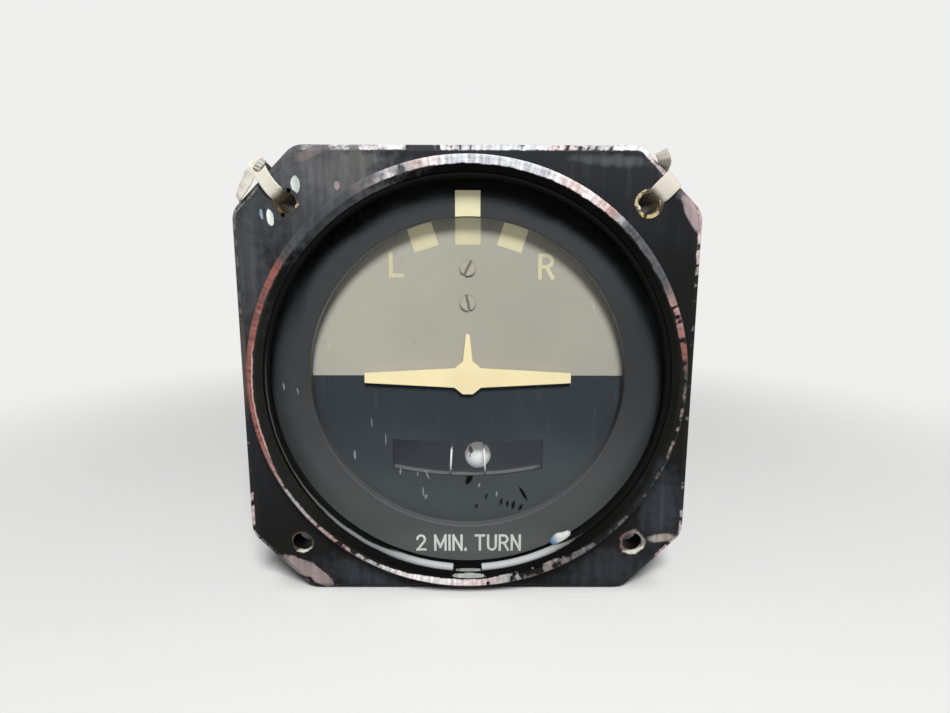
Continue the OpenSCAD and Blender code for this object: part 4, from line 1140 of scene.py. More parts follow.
class Shell:
    """Grids of points gathered into one mesh: rows follow a path and columns go across or round it."""

    def __init__(self) -> None:
        """Starts with no points."""
        self.points: list[np.ndarray] = []
        self.coords: list[np.ndarray] = []
        self.faces: list[list[int]] = []
        self.count = 0

    def grid(self, points: np.ndarray, ring: bool = False, ends: bool = False,
             coords: np.ndarray | None = None) -> None:
        """Adds a grid of four-sided faces.

        Args:
            points: Array of rows by columns by 3.
            ring: Joins the last column to the first.
            ends: Closes the first and the last row with a face.
            coords: Pattern coordinates of each point, rows by columns by 2.
        """
        rows, columns = points.shape[:2]
        index = np.arange(rows * columns).reshape(rows, columns) + self.count
        wide = np.concatenate([index, index[:, :1]], axis=1) if ring else index
        quads = np.stack([wide[:-1, :-1], wide[:-1, 1:], wide[1:, 1:], wide[1:, :-1]], axis=-1).reshape(-1, 4)
        self.faces += quads.tolist()
        if ends:
            self.faces += [index[0, ::-1].tolist(), index[-1].tolist()]
        self.points.append(points.reshape(-1, 3))
        self.coords.append(np.zeros((rows * columns, 2)) if coords is None else coords.reshape(-1, 2))
        self.count += rows * columns

    @classmethod
    def single(cls, name: str, points: np.ndarray, sharp: float, ring: bool = False, ends: bool = False) -> Piece:
        """Makes an object from one grid.

        Args:
            name: Name of the object.
            points: Array of rows by columns by 3.
            sharp: Angle in degrees past which edges stay sharp.
            ring: Joins the last column to the first.
            ends: Closes the first and the last row with a face.

        Returns:
            The object.
        """
        shell = cls()
        shell.grid(points, ring, ends)
        return shell.build(name, sharp)

    def build(self, name: str, sharp: float) -> Piece:
        """Makes the object, with its normals outward and edges sharper than an angle kept sharp.

        Args:
            name: Name of the object and its mesh.
            sharp: Angle in degrees.

        Returns:
            The object, at the origin.
        """
        mesh = bpy.data.meshes.new(name)
        mesh.from_pydata((np.concatenate(self.points) * MM).tolist(), [], self.faces)
        corners = np.empty(len(mesh.loops), dtype=np.int32)
        mesh.loops.foreach_get("vertex_index", corners)
        layer = mesh.uv_layers.new(name="weave")
        layer.data.foreach_set("uv", np.concatenate(self.coords)[corners].astype(np.float32).ravel())
        work = bmesh.new()
        work.from_mesh(mesh)
        bmesh.ops.recalc_face_normals(work, faces=work.faces)
        work.to_mesh(mesh)
        work.free()
        mesh.shade_smooth()
        mesh.set_sharp_from_angle(angle=math.radians(sharp))
        made = bpy.data.objects.new(name, mesh)
        bpy.context.scene.collection.objects.link(made)
        return made


def around(count: int) -> np.ndarray:
    """Angles of a full turn, evenly spaced."""
    return np.linspace(0, TURN, count, endpoint=False)


def run_length(path: np.ndarray) -> np.ndarray:
    """Distance along a path at each of its points."""
    return np.concatenate([[0], np.cumsum(np.linalg.norm(np.diff(path, axis=0), axis=1))])


def turned(radius: np.ndarray | float, y: np.ndarray | float, angle: np.ndarray) -> np.ndarray:
    """Points about the dial axis: x = radius * cosine and z = radius * sine of the angle."""
    return np.stack(np.broadcast_arrays(radius * np.cos(angle), y, radius * np.sin(angle)), axis=-1)


def spun(x: np.ndarray, y: np.ndarray | float, z: np.ndarray, degrees: float) -> np.ndarray:
    """Points turned clockwise about the dial axis, as the front view shows it."""
    c, s = math.cos(math.radians(degrees)), math.sin(math.radians(degrees))
    return np.stack(np.broadcast_arrays(x * c + z * s, y, z * c - x * s), axis=-1)


def unit(vectors: np.ndarray) -> np.ndarray:
    """Vectors of length 1 along the last axis."""
    return vectors / np.maximum(np.linalg.norm(vectors, axis=-1, keepdims=True), 1e-9)


def smooth_path(knots: np.ndarray, count: int) -> np.ndarray:
    """A smooth curve through points, the Catmull-Rom cubic between each two of them.

    Args:
        knots: Points, in order.
        count: Number of samples.

    Returns:
        Samples, evenly spaced along the curve's length.
    """
    padded = np.concatenate([2 * knots[:1] - knots[1:2], knots, 2 * knots[-1:] - knots[-2:-1]])
    at = np.linspace(0, len(knots) - 1 - 1e-9, count * 6)
    index = at.astype(int)
    t = (at - index)[:, None]
    a, b, c, d = (padded[index + k] for k in range(4))
    fine = 0.5 * (2 * b + (c - a) * t + (2 * a - 5 * b + 4 * c - d) * t ** 2 + (3 * b - a - 3 * c + d) * t ** 3)
    run = run_length(fine)
    even = np.linspace(0, run[-1], count)
    return np.stack([np.interp(even, run, fine[:, k]) for k in range(fine.shape[1])], axis=1)


def swept(path: np.ndarray, side: np.ndarray, profile: np.ndarray) -> np.ndarray:
    """A profile carried along a path: point = path + profile x * side + profile y * normal.

    Args:
        path: Points of the path, rows by 3.
        side: Direction of the profile's x at each point, or one for all.
        profile: Points of the profile, columns by 2, or rows by columns by 2 where it changes.

    Returns:
        Grid of rows by columns by 3.
    """
    tangent = unit(np.gradient(path, axis=0))
    side = np.broadcast_to(side, path.shape)
    side = unit(side - tangent * np.sum(side * tangent, axis=1, keepdims=True))
    normal = np.cross(tangent, side)
    shape = np.broadcast_to(profile, (len(path), *profile.shape[-2:]))
    return path[:, None] + shape[..., :1] * side[:, None] + shape[..., 1:] * normal[:, None]


def oval(width: float, height: float, count: int, square: float = 0.5) -> np.ndarray:
    """A closed profile between an ellipse and a box: cosine and sine raised to a power, with their signs kept.

    Args:
        width: Size along x.
        height: Size along y.
        count: Number of points.
        square: The power; 1 gives an ellipse, and less comes nearer to a box.

    Returns:
        Points, count by 2.
    """
    t = around(count)
    wave = np.stack([np.cos(t), np.sin(t)], axis=1)
    return np.sign(wave) * np.abs(wave) ** square * np.array([width / 2, height / 2])


def outfit(piece: Piece, finish: Finish, body: str, stands_for: Sequence[str] = ()) -> None:
    """Dresses a new piece, lets it ride on a body and reports it.

    Args:
        piece: The new object.
        finish: Its finish.
        body: Name of the CAD body that carries it.
        stands_for: CAD nodes that it replaces.
    """
    piece.data.materials.append(finish.material())
    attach(piece, body)
    if stands_for:
        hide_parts(*stands_for)
    LOG.info("piece %s on %s, %d faces", piece.name, body, len(piece.data.polygons))


def dress(frame: dict, finish: Finish, *nodes: str) -> None:
    """Gives one finish to CAD nodes.

    Args:
        finish: The finish.
        nodes: Names of the nodes.
    """
    material = finish.material()
    for name in nodes:
        piece = frame["nodes"][name]
        if not piece.material_slots:
            piece.data.materials.append(material)
        for place in piece.material_slots:
            place.material = material
        LOG.info("node %s dressed in %s", name, material.name)


# ---------------------------------------------------------------- lettering


class Letters:
    """Plain drawn letters: each is a set of strokes in a cell of height 1."""

    @staticmethod
    def _turn(cx: float, cz: float, rx: float, rz: float, a0: float, a1: float) -> list[Pair]:
        """Points of an elliptic arc from angle a0 to a1 in degrees."""
        t = np.radians(np.linspace(a0, a1, 14))
        return np.stack([cx + rx * np.cos(t), cz + rz * np.sin(t)], axis=1).tolist()

    @classmethod
    def strokes(cls, letter: str) -> tuple[float, list[list[Pair]]]:
        """Strokes of one letter.

        Args:
            letter: The letter.

        Returns:
            The letter's width and its strokes.
        """
        bowl = [(0.0, 1.0), (0.28, 1.0), *cls._turn(0.28, 0.745, 0.27, 0.255, 85, -85), (0.28, 0.49), (0.0, 0.49)]
        table = {
            "L": (0.52, [[(0, 1.0), (0, 0)], [(0, 0), (0.52, 0)]]),
            "R": (0.58, [[(0, 1.0), (0, 0)], bowl, [(0.3, 0.49), (0.58, 0)]]),
            "2": (0.55, [[*cls._turn(0.27, 0.73, 0.27, 0.27, 172, -32), (0.02, 0.0)], [(0, 0), (0.56, 0)]]),
            "M": (0.74, [[(0, 0), (0, 1)], [(0, 1), (0.37, 0.2)], [(0.37, 0.2), (0.74, 1)], [(0.74, 1), (0.74, 0)]]),
            "I": (0.0, [[(0, 0), (0, 1)]]),
            "N": (0.58, [[(0, 0), (0, 1)], [(0, 1), (0.58, 0)], [(0.58, 0), (0.58, 1)]]),
            "T": (0.6, [[(0, 1), (0.6, 1)], [(0.3, 1), (0.3, 0)]]),
            "U": (0.56, [[(0, 1), (0, 0.28), *cls._turn(0.28, 0.28, 0.28, 0.28, 188, 352), (0.56, 0.28), (0.56, 1)]]),
            ".": (0.0, [[(0, -0.015), (0, 0.06)]]),
            " ": (0.16, []),
        }
        return table[letter]

    @classmethod
    def write(cls, shell: Shell, text: str, box: Box, face_y: float, pen: float, gap: float = 0.3) -> None:
        """Writes text into a box as thin raised strokes; each stroke is a flat profile carried along its line.

        Args:
            shell: Takes the strokes.
            text: What to write.
            box: Left, right, bottom and top of the inked area.
            face_y: Depth of the face that carries the paint.
            pen: Width of the strokes.
            gap: Space between letters, as a share of the height.
        """
        left, right, bottom, top = box
        height = top - bottom - pen
        laid: list[np.ndarray] = []
        x = 0.0
        for letter in text:
            width, strokes = cls.strokes(letter)
            laid += [np.array(stroke, dtype=float) + (x, 0.0) for stroke in strokes]
            x += width + gap
        squeeze = (right - left - pen) / max((x - gap) * height, 1e-6) if len(text) > 1 else 1.0
        thin = oval(pen, PAINT_THICK, 8, 0.35)
        for stroke in laid:
            ends = unit(np.gradient(stroke, axis=0))
            stroke = stroke * (height * squeeze, height) + (left + pen / 2, bottom + pen / 2)
            stroke[0] -= ends[0] * pen * 0.5
            stroke[-1] += ends[-1] * pen * 0.5
            path = np.stack([stroke[:, 0], np.full(len(stroke), face_y - 0.012), stroke[:, 1]], axis=1)
            tangent = unit(np.gradient(path, axis=0))
            side = np.stack([tangent[:, 2], np.zeros(len(path)), -tangent[:, 0]], axis=1)
            shell.grid(swept(path, side, thin), ring=True, ends=True)


# ---------------------------------------------------------------- sub-assemblies


@dataclass
class Bezel:
    """Flange and rim, brass nuts, snap ring and the dab of lacquer on it."""

    dab_at: Pair = (17.8, -30.8)
    dab_half: Pair = (2.0, 1.55)
    dab_turn: float = 33.0
    dab_height: float = 0.85

    def dab(self) -> Piece:
        """A low lumpy dome on the glass beside the snap ring.

        Its height falls as the square root of 1 - r*r from the middle, times a slow wave round it.

        Returns:
            The piece.
        """
        r = np.linspace(0.02, 1.0, 14)[:, None]
        t = around(40)[None, :]
        wave = 1 + 0.12 * np.sin(3 * t + 0.7) + 0.07 * np.sin(5 * t)
        a, b = self.dab_half[0] * r * wave * np.cos(t), self.dab_half[1] * r * wave * np.sin(t)
        lift = self.dab_height * np.sqrt(1.0005 - r ** 2) * (1 + 0.18 * np.sin(2 * t + 1.0) * r)
        dome = spun(a, GLASS_Y - lift, b, -self.dab_turn) + (self.dab_at[0], 0, self.dab_at[1])
        return Shell.single("lacquer_dab", dome, 80.0, ring=True, ends=True)

    def build(self, frame: dict) -> None:
        """Dresses the CAD nodes and adds the dab of lacquer.
        """
        dress(frame, WornBlack("bezel_worn_black"), "front_bezel")
        dress(frame, NutBrass("nut_dull_brass"), "mounting_nuts")
        dress(frame, SpringWire("snap_ring_wire"), "snap_ring")
        outfit(self.dab(), SealantPaint("inspection_lacquer", self.dab_at), "case")


@dataclass(frozen=True)
class TapeRun:
    """One run of tape in a corner's own axes: out from the hole, along the cut corner, and depth."""

    knots: tuple[Triple, ...]
    side: tuple[Triple, Triple]
    width: float
    gather: float = 0.0
    flare: float = 0.0


@dataclass
class Ties:
    """Woven lacing tapes tied through the upper nuts and over the cut corners."""

    thickness: float = 0.34
    samples: int = 110
    section: int = 28
    left: tuple[TapeRun, ...] = (
        TapeRun(((1.6, 0, 9.0), (1.6, 0, 4.0), (1.6, 0, 1.4), (1.78, 0, 0.3), (2.4, 0.1, -0.3), (3.6, 0.25, -0.72),
                 (5.2, 0.6, -0.95), (6.5, 1.0, -0.95), (7.4, 1.3, -0.55), (7.6, 1.3, 0.5), (7.2, 1.1, 1.9),
                 (6.8, 0.8, 3.4), (6.4, 0.5, 4.9), (4.9, 0.3, 8.6), (3.1, 0.1, 12.3), (2.2, 0, 12.65),
                 (1.64, 0, 11.9), (1.6, 0, 8.9)),
                ((0, 1, 0), (0, 1, 0)), 2.85, 0.12),
        TapeRun(((7.1, 1.8, 0.2), (7.5, 1.2, -0.6), (7.3, 0.0, -1.2), (6.85, -1.7, -1.0), (6.6, -3.3, -0.6),
                 (6.45, -4.7, -0.05), (6.42, -5.5, 1.1), (6.45, -5.9, 2.6)),
                ((0.8, 0, -0.6), (0.5, 0, 0.85)), 2.0, 0.1),
        TapeRun(((6.9, 0.8, -1.3), (6.95, 1.6, -1.6), (7.0, 2.4, -1.6), (7.1, 3.0, -1.45)),
                ((0.9, 0, -0.4), (0.8, 0.1, -0.6)), 1.3, 0.1))
    right: tuple[TapeRun, ...] = (
        TapeRun(((1.6, 0, 9.0), (1.6, 0, 4.0), (1.6, 0, 1.4), (1.78, 0, 0.3), (2.4, 0, -0.27), (3.6, 0, -0.42),
                 (4.9, 0, -0.4), (5.75, 0, 0.0), (6.22, 0, 0.75), (6.27, 0, 2.5), (6.25, 0, 4.7), (4.8, 0, 8.4),
                 (3.1, 0, 12.3), (2.2, 0, 12.65), (1.64, 0, 11.9), (1.6, 0, 8.9)),
                ((0, 1, 0), (0, 1, 0)), 2.85, 0.04, 0.32),
        TapeRun(((5.9, 1.0, 5.6), (6.3, 1.9, 4.6), (6.7, 2.5, 3.0), (6.75, 3.0, 1.2), (6.8, 3.6, 0.1),
                 (7.0, 4.4, -0.35), (7.2, 5.1, -0.5)),
                ((0.3, -0.9, 0.2), (0.83, -0.55, 0)), 2.2))

    def _axes(self, side: int) -> np.ndarray:
        """Rows are the corner's out, along and depth directions; side is 1 on the right and -1 on the left."""
        slant = math.sqrt(0.5)
        return np.array([[side * slant, 0, slant], [-side * slant, 0, slant], [0, 1, 0]])

    def _lay(self, shell: Shell, run: TapeRun, side: int) -> None:
        """Adds a run: a flat oval carried along a smooth curve, drawn in where the tape is gathered.

        Args:
            shell: Takes the run.
            run: The run.
            side: 1 on the right and -1 on the left.
        """
        axes = self._axes(side)
        hole = np.array([side * HOLE_AT, 0, HOLE_AT])
        path = smooth_path(np.array(run.knots, dtype=float) @ axes + hole, self.samples)
        share = np.linspace(0, 1, len(path))[:, None]
        across = (np.array(run.side[0]) * (1 - share) + np.array(run.side[1]) * share) @ axes
        profile = oval(run.width, self.thickness, self.section, 0.45)
        pull = 1 - run.gather * (0.5 - 0.5 * np.cos(TURN * share * 1.5)) + 0.02 * np.sin(share * 47)
        pull = pull + run.flare * np.exp(-((share - 0.36) / 0.1) ** 2)
        crown = 0.05 * np.sin(share * 23) * np.cos(np.pi * profile[:, 0] / run.width)[None, :]
        shape = np.stack([profile[None, :, 0] * pull, profile[None, :, 1] + crown], axis=-1)
        coords = np.stack(np.broadcast_arrays(shape[..., 0], run_length(path)[:, None]), axis=-1)
        shell.grid(swept(path, across, shape), ring=True, ends=True, coords=coords)

    def build(self, frame: dict) -> None:
        """Makes both tapes in place of their CAD nodes.
        """
        old = WovenTape("lacing_tape_old", (0.63, 0.59, 0.51))
        new = WovenTape("lacing_tape_cotton")
        for side, runs, name, tape in ((-1, self.left, "left", new), (1, self.right, "right", old)):
            shell = Shell()
            for run in runs:
                self._lay(shell, run, side)
            outfit(shell.build(f"{name}_tie_woven", 70.0), tape, "case", (f"{name}_tie",))


@dataclass
class Dial:
    """Glass, mask, horizon disc, aircraft and their painted marks."""

    glass_r: float = 36.5
    glass_gap: float = 0.06
    glass_edge: float = 0.15
    mask_y: float = 2.2
    disc_y: float = 4.9
    index_low: float = 29.35
    index_top: float = 33.8
    index_half: float = 2.24
    block_half: float = 2.32
    block_low: float = 24.4
    block_high: float = 33.2
    block_turn: float = 17.7
    block_drop: float = 0.4
    screw_turn: Pair = (27.0, -12.0)
    screw_h: float = 0.35
    screw_slot: float = 0.5
    legend: Box = (-10.0, 10.4, -34.4, -31.0)
    left_mark: Box = (-14.55, -11.95, 18.4, 23.05)
    right_mark: Box = (12.95, 15.85, 18.1, 22.8)
    scratches: tuple[Scratch, ...] = (
        (-33.4, -1.0, 0.7, 0.16, 96.0), (-30.9, -1.9, 0.6, 0.13, 100.0), (-20.9, -14.0, 0.8, 0.2, 92.0),
        (-8.3, -21.2, 0.9, 0.14, 95.0), (-15.1, -11.0, 1.1, 0.1, 88.0), (-24.8, 6.6, 0.7, 0.12, 95.0),
        (-12.5, -17.2, 0.6, 0.16, 86.0),
        (5.44, -21.7, 0.55, 0.16, 80.0), (22.5, 13.5, 0.9, 0.1, 98.0), (-17.6, -7.8, 1.0, 0.1, 92.0),
        (-7.5, -17.9, 0.9, 0.14, -68.0), (-7.8, -22.2, 0.45, 0.25, 70.0), (-9.3, -17.7, 0.5, 0.12, 88.0),
        (2.2, -19.9, 0.4, 0.2, 80.0))

    @staticmethod
    def _patch(shell: Shell, half: float, low: float, high: float, turn: float, face_y: float, arc_low: bool) -> None:
        """A thin raised block of paint: x runs across it and the radius along it.

        Args:
            shell: Takes the block.
            half: Half of its width.
            low: Radius of its inner edge.
            high: Radius of its outer edge.
            turn: Angle to the right of straight up, in degrees.
            face_y: Depth of the face that carries it.
            arc_low: The inner edge follows the circle of its radius.
        """
        x = np.linspace(-half, half, 25)[None, :]
        start = np.sqrt(low ** 2 - x ** 2) if arc_low else np.full_like(x, low)
        z = start + (high - start) * np.linspace(0, 1, 7)[:, None]
        flat = spun(x, 0.0, z, turn)
        round_trip = np.concatenate([flat[0], flat[1:, -1], flat[-1, -2::-1], flat[-2:0:-1, 0]])
        top = (0, face_y - PAINT_THICK, 0)
        shell.grid(np.stack([round_trip + (0, face_y + 0.005, 0), round_trip + top]), ring=True)
        shell.grid(flat + top)

    def marks(self) -> None:
        """Painted blocks and letters on the mask and on the disc."""
        smooth = {"roughness": 0.65, "peel": 0.004, "peel_scale": 1.5}
        # The cream marks glow a little: painted light that lifts them where the mask and the rim shade them.
        cream = Paint("mark_cream", (0.485, 0.45, 0.3), mottle=0.06, gloss=0.2, glow=0.26, **smooth)
        bright = Paint("index_cream", (0.63, 0.585, 0.385), mottle=0.06, gloss=0.2, glow=0.2, **smooth)
        white = Paint("legend_white", (0.62, 0.625, 0.59), mottle=0.08, **smooth)
        fixed = Shell()
        self._patch(fixed, self.index_half, self.index_low, self.index_top, 0.0, self.mask_y, True)
        outfit(fixed.build("mask_index", 30.0), bright, "case")
        blocks = Shell()
        for turn in (-self.block_turn, 0.0, self.block_turn):
            low = self.block_low + (self.block_drop if turn else 0.0)
            self._patch(blocks, self.block_half, low, self.block_high, turn, self.disc_y, False)
        outfit(blocks.build("disc_blocks", 30.0), cream, "gimbal")
        signs = Shell()
        Letters.write(signs, "L", self.left_mark, self.disc_y, 0.75)
        Letters.write(signs, "R", self.right_mark, self.disc_y, 0.7)
        outfit(signs.build("disc_letters", 30.0), cream, "gimbal")
        words = Shell()
        Letters.write(words, "2 MIN. TURN", self.legend, self.mask_y, 0.46, 0.29)
        outfit(words.build("mask_legend", 30.0), white, "case")

    def screw_heads(self) -> Piece:
        """Slotted heads of the disc's screws, each a grid of chords across a circle.

        u runs across the slot and v along it; v is a share of the chord, the root of R*R - u*u. The depth steps down
        where u is within half of the slot's width, and the outer rows and columns drop to the disc.

        Returns:
            The piece.
        """
        shell = Shell()
        w = self.screw_slot / 2
        tilt = np.sin(np.radians(np.linspace(-86, 86, 25))) * DISC_SCREW_R
        u = np.sort(np.concatenate([tilt[np.abs(tilt) > w * 1.2], [-w, -w + 0.01, 0.0, w - 0.01, w]]))
        u = np.concatenate([u[:1], u, u[-1:]])
        share = np.concatenate([[-1.0], np.linspace(-1, 1, 13), [1.0]])
        v = share[None, :] * np.sqrt(DISC_SCREW_R ** 2 - u[:, None] ** 2)
        u = np.broadcast_to(u[:, None], v.shape)
        depth = np.where(np.abs(u) < w - 0.005, self.disc_y - self.screw_h * 0.4, self.disc_y - self.screw_h)
        depth[[0, -1], :] = self.disc_y
        depth[:, [0, -1]] = self.disc_y
        for at, turn in zip(DISC_SCREWS_Z, self.screw_turn):
            shell.grid(spun(u, depth, v, turn) + (0, 0, at))
        return shell.build("disc_screw_heads", 30.0)

    def pane(self) -> Piece:
        """Round pane with ground edges: a profile of depth and radius turned about the dial axis.

        Returns:
            The piece.
        """
        radius, back, edge = self.glass_r, self.mask_y - self.glass_gap, self.glass_edge
        r = np.array([0.02, radius - edge, radius, radius, radius - edge, 0.02])[:, None]
        y = np.array([GLASS_Y, GLASS_Y, GLASS_Y + edge, back - edge, back, back])[:, None]
        return Shell.single("cover_pane", turned(r, y, around(160)), 20.0, ring=True, ends=True)

    def build(self, frame: dict) -> None:
        """Dresses the dial's nodes and adds the pane and the marks.
        """
        glass = ClearGlass("cover_glass_clear", scratches=self.scratches)
        dress(frame, glass, "cover_glass")
        outfit(self.pane(), glass, "case", ("cover_glass",))
        dress(frame, MaskPaint("mask_dark_grey"), "dial_mask")
        dress(frame, HorizonPaint("horizon_paint"), "turn_disc")
        dress(frame, Paint("aircraft_cream", (0.86, 0.735, 0.44), 0.6, 0.05, 0.004, 1.5), "aircraft_symbol")
        screws = SlottedScrew("disc_screw_grey")
        dress(frame, screws, "disc_screws")
        outfit(self.screw_heads(), screws, "gimbal", ("disc_screws",))
        dress(frame, Paint("seal_rubber_black", (0.018, 0.018, 0.018), 0.8, 0.2, 0.02, 2.5, 0.1, 0.3),
              "mask_gasket", "cover_gasket", "tube_plugs")
        self.marks()


@dataclass
class Inclinometer:
    """Curved glass tube with its ball, index wires, cradle and clips."""

    def build(self, frame: dict) -> None:
        """Dresses the inclinometer's nodes.
        """
        dress(frame, ClearGlass("tube_glass_clear", (0.985, 0.99, 0.988), polish=0.45), "inclinometer_tube")
        dress(frame, GlazedBall("ball_white_glaze"), "slip_ball")
        dress(frame, Paint("index_wire_white", (0.8, 0.8, 0.8), 0.5, 0.06, 0.004, 2.0), "tube_index_wires")
        # The cradle and the front plate glow faintly behind the window: painted light.
        dress(frame, BackPlate("cradle_grey", (0.13, 0.132, 0.137), (0.046, 0.05, 0.056), 14.0), "tube_cradle")
        dress(frame, BackPlate("plate_slate"), "front_plate")
        dress(frame, Paint("clip_black", (0.016, 0.016, 0.017), 0.55, 0.2, 0.006, 1.5), "tube_clips")


@dataclass
class Gyro:
    """Gimbal, rotor, motor parts, damping and the frame that carries them."""

    def build(self, frame: dict) -> None:
        """Dresses the mechanism's nodes.
        """
        alloy = (0.66, 0.67, 0.69)
        steel = (0.6, 0.61, 0.62)
        dress(frame, Metal("frame_alloy_turned", alloy, 0.38, Lay.DIAL, (0.4, 0.4, 0.4), 0.3),
              "rear_plate", "frame_pillars", "board_standoffs")
        dress(frame, Metal("gimbal_alloy", alloy, 0.34, Lay.DRAWN, (0.38, 0.38, 0.38), 0.3),
              "gimbal_frame", "disc_arm", "bearing_caps", "noise_capacitor")
        dress(frame, Metal("ground_steel", steel, 0.22, Lay.DRAWN, (0.3, 0.28, 0.25), 0.25), "gimbal_pivots",
              "gimbal_bearings", "rotor_bearings", "rotor_shaft", "symbol_post", "dashpot_piston", "spring_post",
              "centring_spring", "capacitor_clip", "front_plate_screws", "rear_plate_screws")
        dress(frame, Metal("rotor_turned_brass", (0.72, 0.53, 0.25), 0.28, Lay.ROTOR, (0.3, 0.2, 0.09), 0.4),
              "gyro_rotor")
        dress(frame, Metal("small_brass", (0.7, 0.52, 0.25), 0.33, Lay.NONE, (0.26, 0.17, 0.08), 0.45),
              "dashpot_cylinder", "terminal_screws", "brush_holders")
        dress(frame, CommutatorCopper("commutator_copper"), "commutator")
        dress(frame, Laminate("brown_laminate"), "brush_plate", "terminal_board")
        dress(frame, Paint("brush_carbon", (0.02, 0.02, 0.021), 0.55, 0.3, 0.02, 4.0, 0.1), "brushes")
        dress(frame, Metal("magnet_iron", (0.3, 0.3, 0.31), 0.5, Lay.ROTOR, (0.13, 0.1, 0.08), 0.5), "field_magnet")


@dataclass
class Rear:
    """Case, rear cover and the two-pin connector with its threaded barrel."""

    flange_half: float = 13.9
    flange_round: float = 3.0
    flange_y: Pair = (104.5, 106.5)
    barrel_r: float = 9.525
    bore_r: float = 7.825
    barrel_end: float = 116.0
    insert_y: float = 107.1
    pitch: float = 1.27
    thread_depth: float = 0.62

    def _square(self, inset: float, y: float, angle: np.ndarray) -> np.ndarray:
        """Rounded square at depth y: the box with each corner pulled onto its circle, met by rays at the angles.

        Args:
            inset: Distance inside the full outline.
            y: Depth.
            angle: Angles of the rays.

        Returns:
            One row of points.
        """
        half, corner = self.flange_half - inset, self.flange_round
        c, s = np.abs(np.cos(angle)), np.abs(np.sin(angle))
        box = half / np.maximum(c, s)
        k = half - corner
        along = k * (c + s)
        on_circle = along + np.sqrt(np.maximum(along ** 2 - 2 * k ** 2 + corner ** 2, 0))
        in_corner = np.minimum(c, s) * box > k
        r = np.where(in_corner, on_circle, box)
        return turned(r, y, angle)

    def connector(self) -> Piece:
        """Square flange and threaded barrel as one closed surface of rings.

        The thread's radius is the barrel's less a triangle wave of depth along y, turned once for each pitch, and
        fades out at both ends.

        Returns:
            The piece.
        """
        angle = around(192)
        (y0, y1), end, outer, bore = self.flange_y, self.barrel_end, self.barrel_r, self.bore_r
        plate = [self._square(inset, y, angle) for inset, y in (
            (0.25, y0), (0.0, y0 + 0.25), (0.0, y1 - 0.3), (0.3, y1))]
        foot = [turned(r, y, angle) for r, y in ((outer + 0.2, y1), (outer - 0.5, y1 + 0.15))]
        depths = np.linspace(y1 + 0.5, end - 0.6, 110)
        fade = np.clip(np.minimum(depths - y1 - 0.5, end - 0.6 - depths) / 0.7, 0, 1)
        turn = (depths[:, None] / self.pitch - angle[None, :] / TURN) % 1.0
        tooth = np.clip(np.abs(turn - 0.5) * 2.4 - 0.1, 0, 1)
        thread = turned(outer - 0.5 + (0.5 - self.thread_depth * (1 - tooth)) * fade[:, None], depths[:, None], angle)
        mouth = [turned(r, y, angle) for r, y in (
            (outer - 0.9, end - 0.1), (outer - 1.0, end), (bore + 0.15, end), (bore, end - 0.15),
            (bore, self.insert_y - 0.6), (bore, y0))]
        rings = np.concatenate([[turned(bore, y0, angle), *plate, *foot], thread, mouth])
        return Shell.single("receptacle_threaded", rings, 35.0, ring=True)

    def build(self, frame: dict) -> None:
        """Dresses the case's nodes and puts the threaded connector in place of the plain one.
        """
        dress(frame, CracklePaint("case_wrinkle_black"), "case_can", "rear_cover")
        dress(frame, Metal("black_screw_steel", (0.16, 0.16, 0.165), 0.4, Lay.NONE, (0.05, 0.045, 0.04), 0.5),
              "case_screws", "cover_screws", "receptacle_screws")
        dress(frame, Paint("insert_green", (0.035, 0.06, 0.04), 0.45, 0.2, 0.012, 2.0, 0.1), "receptacle_insert")
        dress(frame, Metal("pin_gold_plate", (0.85, 0.62, 0.26), 0.25, Lay.NONE, (0.4, 0.26, 0.1), 0.3),
              "receptacle_pins")
        olive = Metal("socket_olive_plate", (0.4, 0.4, 0.27), 0.38, Lay.NONE, (0.16, 0.15, 0.09), 0.5)
        dress(frame, olive, "receptacle_shell")
        outfit(self.connector(), olive, "case", ("receptacle_shell",))


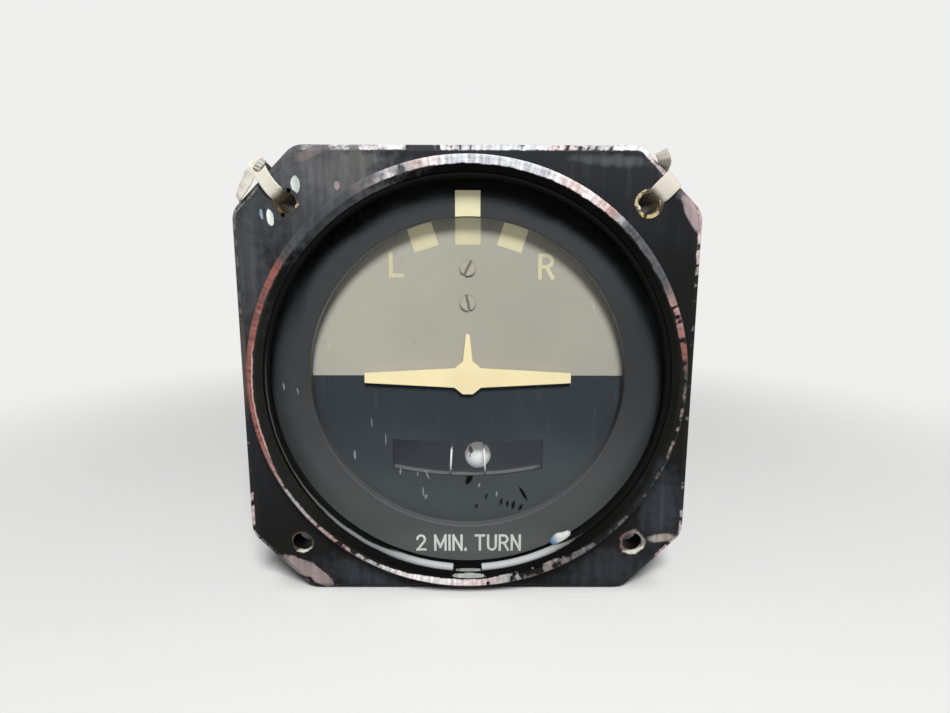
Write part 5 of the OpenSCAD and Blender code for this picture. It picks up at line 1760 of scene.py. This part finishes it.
@dataclass
class Studio:
    """Pale paper sweep, soft light and the camera at the photograph's place."""

    sweep_half: float = 2600.0
    sweep_y: tuple[float, ...] = (-1600.0, 300.0, 600.0)
    bend_r: float = 450.0
    wall_top: float = 2600.0
    eye: Triple = (0.864, -107.556, 23.432)
    pitch: float = 9.977
    yaw: float = 0.253
    roll: float = 0.145
    focal_pixels: float = 604.45
    image_width: float = 950.0
    film_width: float = 36.0
    key_power: float = 6.0
    key_distance: float = 700.0
    key_high: float = 47.0
    key_right: float = 6.0
    key_size: float = 240.0
    sky: float = 0.2
    backdrop: float = 0.86

    def sweep(self) -> None:
        """Floor that turns up into a wall: a flat run, a quarter circle and a straight rise."""
        bend = self.bend_r
        near, middle, far = self.sweep_y
        t = np.linspace(0, np.pi / 2, 24)
        y = np.concatenate([[near, middle], far + bend * np.sin(t), [far + bend]])
        z = np.concatenate([[0.0, 0.0], bend * (1 - np.cos(t)), [self.wall_top]]) - FLANGE_HALF
        x = np.linspace(-self.sweep_half, self.sweep_half, 9)
        points = np.stack(np.broadcast_arrays(x[None, :], y[:, None], z[:, None]), axis=-1)
        floor = Shell.single("paper_sweep", points, 60.0)
        floor.data.materials.append(PaleFloor("studio_paper").material())

    @staticmethod
    def _hold(item: bpy.types.Light | bpy.types.Camera, axes: Sequence[np.ndarray], place: np.ndarray) -> Piece:
        """Puts a lamp or a camera into the scene.

        Args:
            item: The lamp or the camera.
            axes: Its right, up and backward directions.
            place: Where it stands.

        Returns:
            The object that holds it.
        """
        held = bpy.data.objects.new(item.name, item)
        turn = np.eye(4)
        turn[:3, :3] = np.stack(axes, axis=1)
        turn[:3, 3] = place * MM
        held.matrix_world = Matrix(turn.tolist())
        bpy.context.scene.collection.objects.link(held)
        return held

    def light(self) -> None:
        """One soft lamp high in front, and an even pale sky."""
        high, right = math.radians(self.key_high), math.radians(self.key_right)
        away = np.array([math.cos(high) * math.sin(right), -math.cos(high) * math.cos(right), math.sin(high)])
        lamp = bpy.data.lights.new("key_lamp", "AREA")
        lamp.energy = self.key_power
        lamp.shape = "DISK"
        lamp.size = self.key_size * MM
        across = unit(np.cross((0, 0, 1), away))
        self._hold(lamp, (across, np.cross(away, across), away), away * self.key_distance)
        graph = Graph("even_sky", sky=True)
        strength = graph.seen() * (self.backdrop - self.sky) + self.sky
        pale = graph.node("ShaderNodeBackground", inputs={"Color": WHITE_LIGHT, "Strength": strength})
        bpy.context.scene.world = graph.close(pale)

    def camera(self) -> None:
        """The camera fitted to the photograph's holes, rim and edges."""
        pitch, yaw, roll = (math.radians(a) for a in (self.pitch, self.yaw, self.roll))
        ahead = np.array([math.sin(yaw) * math.cos(pitch), math.cos(yaw) * math.cos(pitch), -math.sin(pitch)])
        level = np.array([math.cos(yaw), -math.sin(yaw), 0.0])
        upright = np.cross(level, ahead)
        right = level * math.cos(roll) + upright * math.sin(roll)
        up = upright * math.cos(roll) - level * math.sin(roll)
        lens = bpy.data.cameras.new("photo_camera")
        lens.sensor_width = self.film_width
        lens.lens = self.film_width * self.focal_pixels / self.image_width
        lens.clip_start = 0.005
        lens.clip_end = 20.0
        bpy.context.scene.camera = self._hold(lens, (right, up, -ahead), np.array(self.eye))

    def build(self) -> None:
        """Sets the view and adds the sweep, the light and the camera."""
        bpy.context.scene.view_settings.view_transform = "Standard"
        self.sweep()
        self.light()
        self.camera()
        LOG.info("studio ready")


def main() -> None:
    """Loads the frame, builds the studio and dresses every sub-assembly."""
    logging.basicConfig(level=logging.INFO, format="%(name)s: %(message)s")
    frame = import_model()
    Studio().build()
    for part in (Bezel(), Ties(), Dial(), Inclinometer(), Gyro(), Rear()):
        part.build(frame)
        LOG.info("%s done", type(part).__name__)


if __name__ == "__main__":
    main()
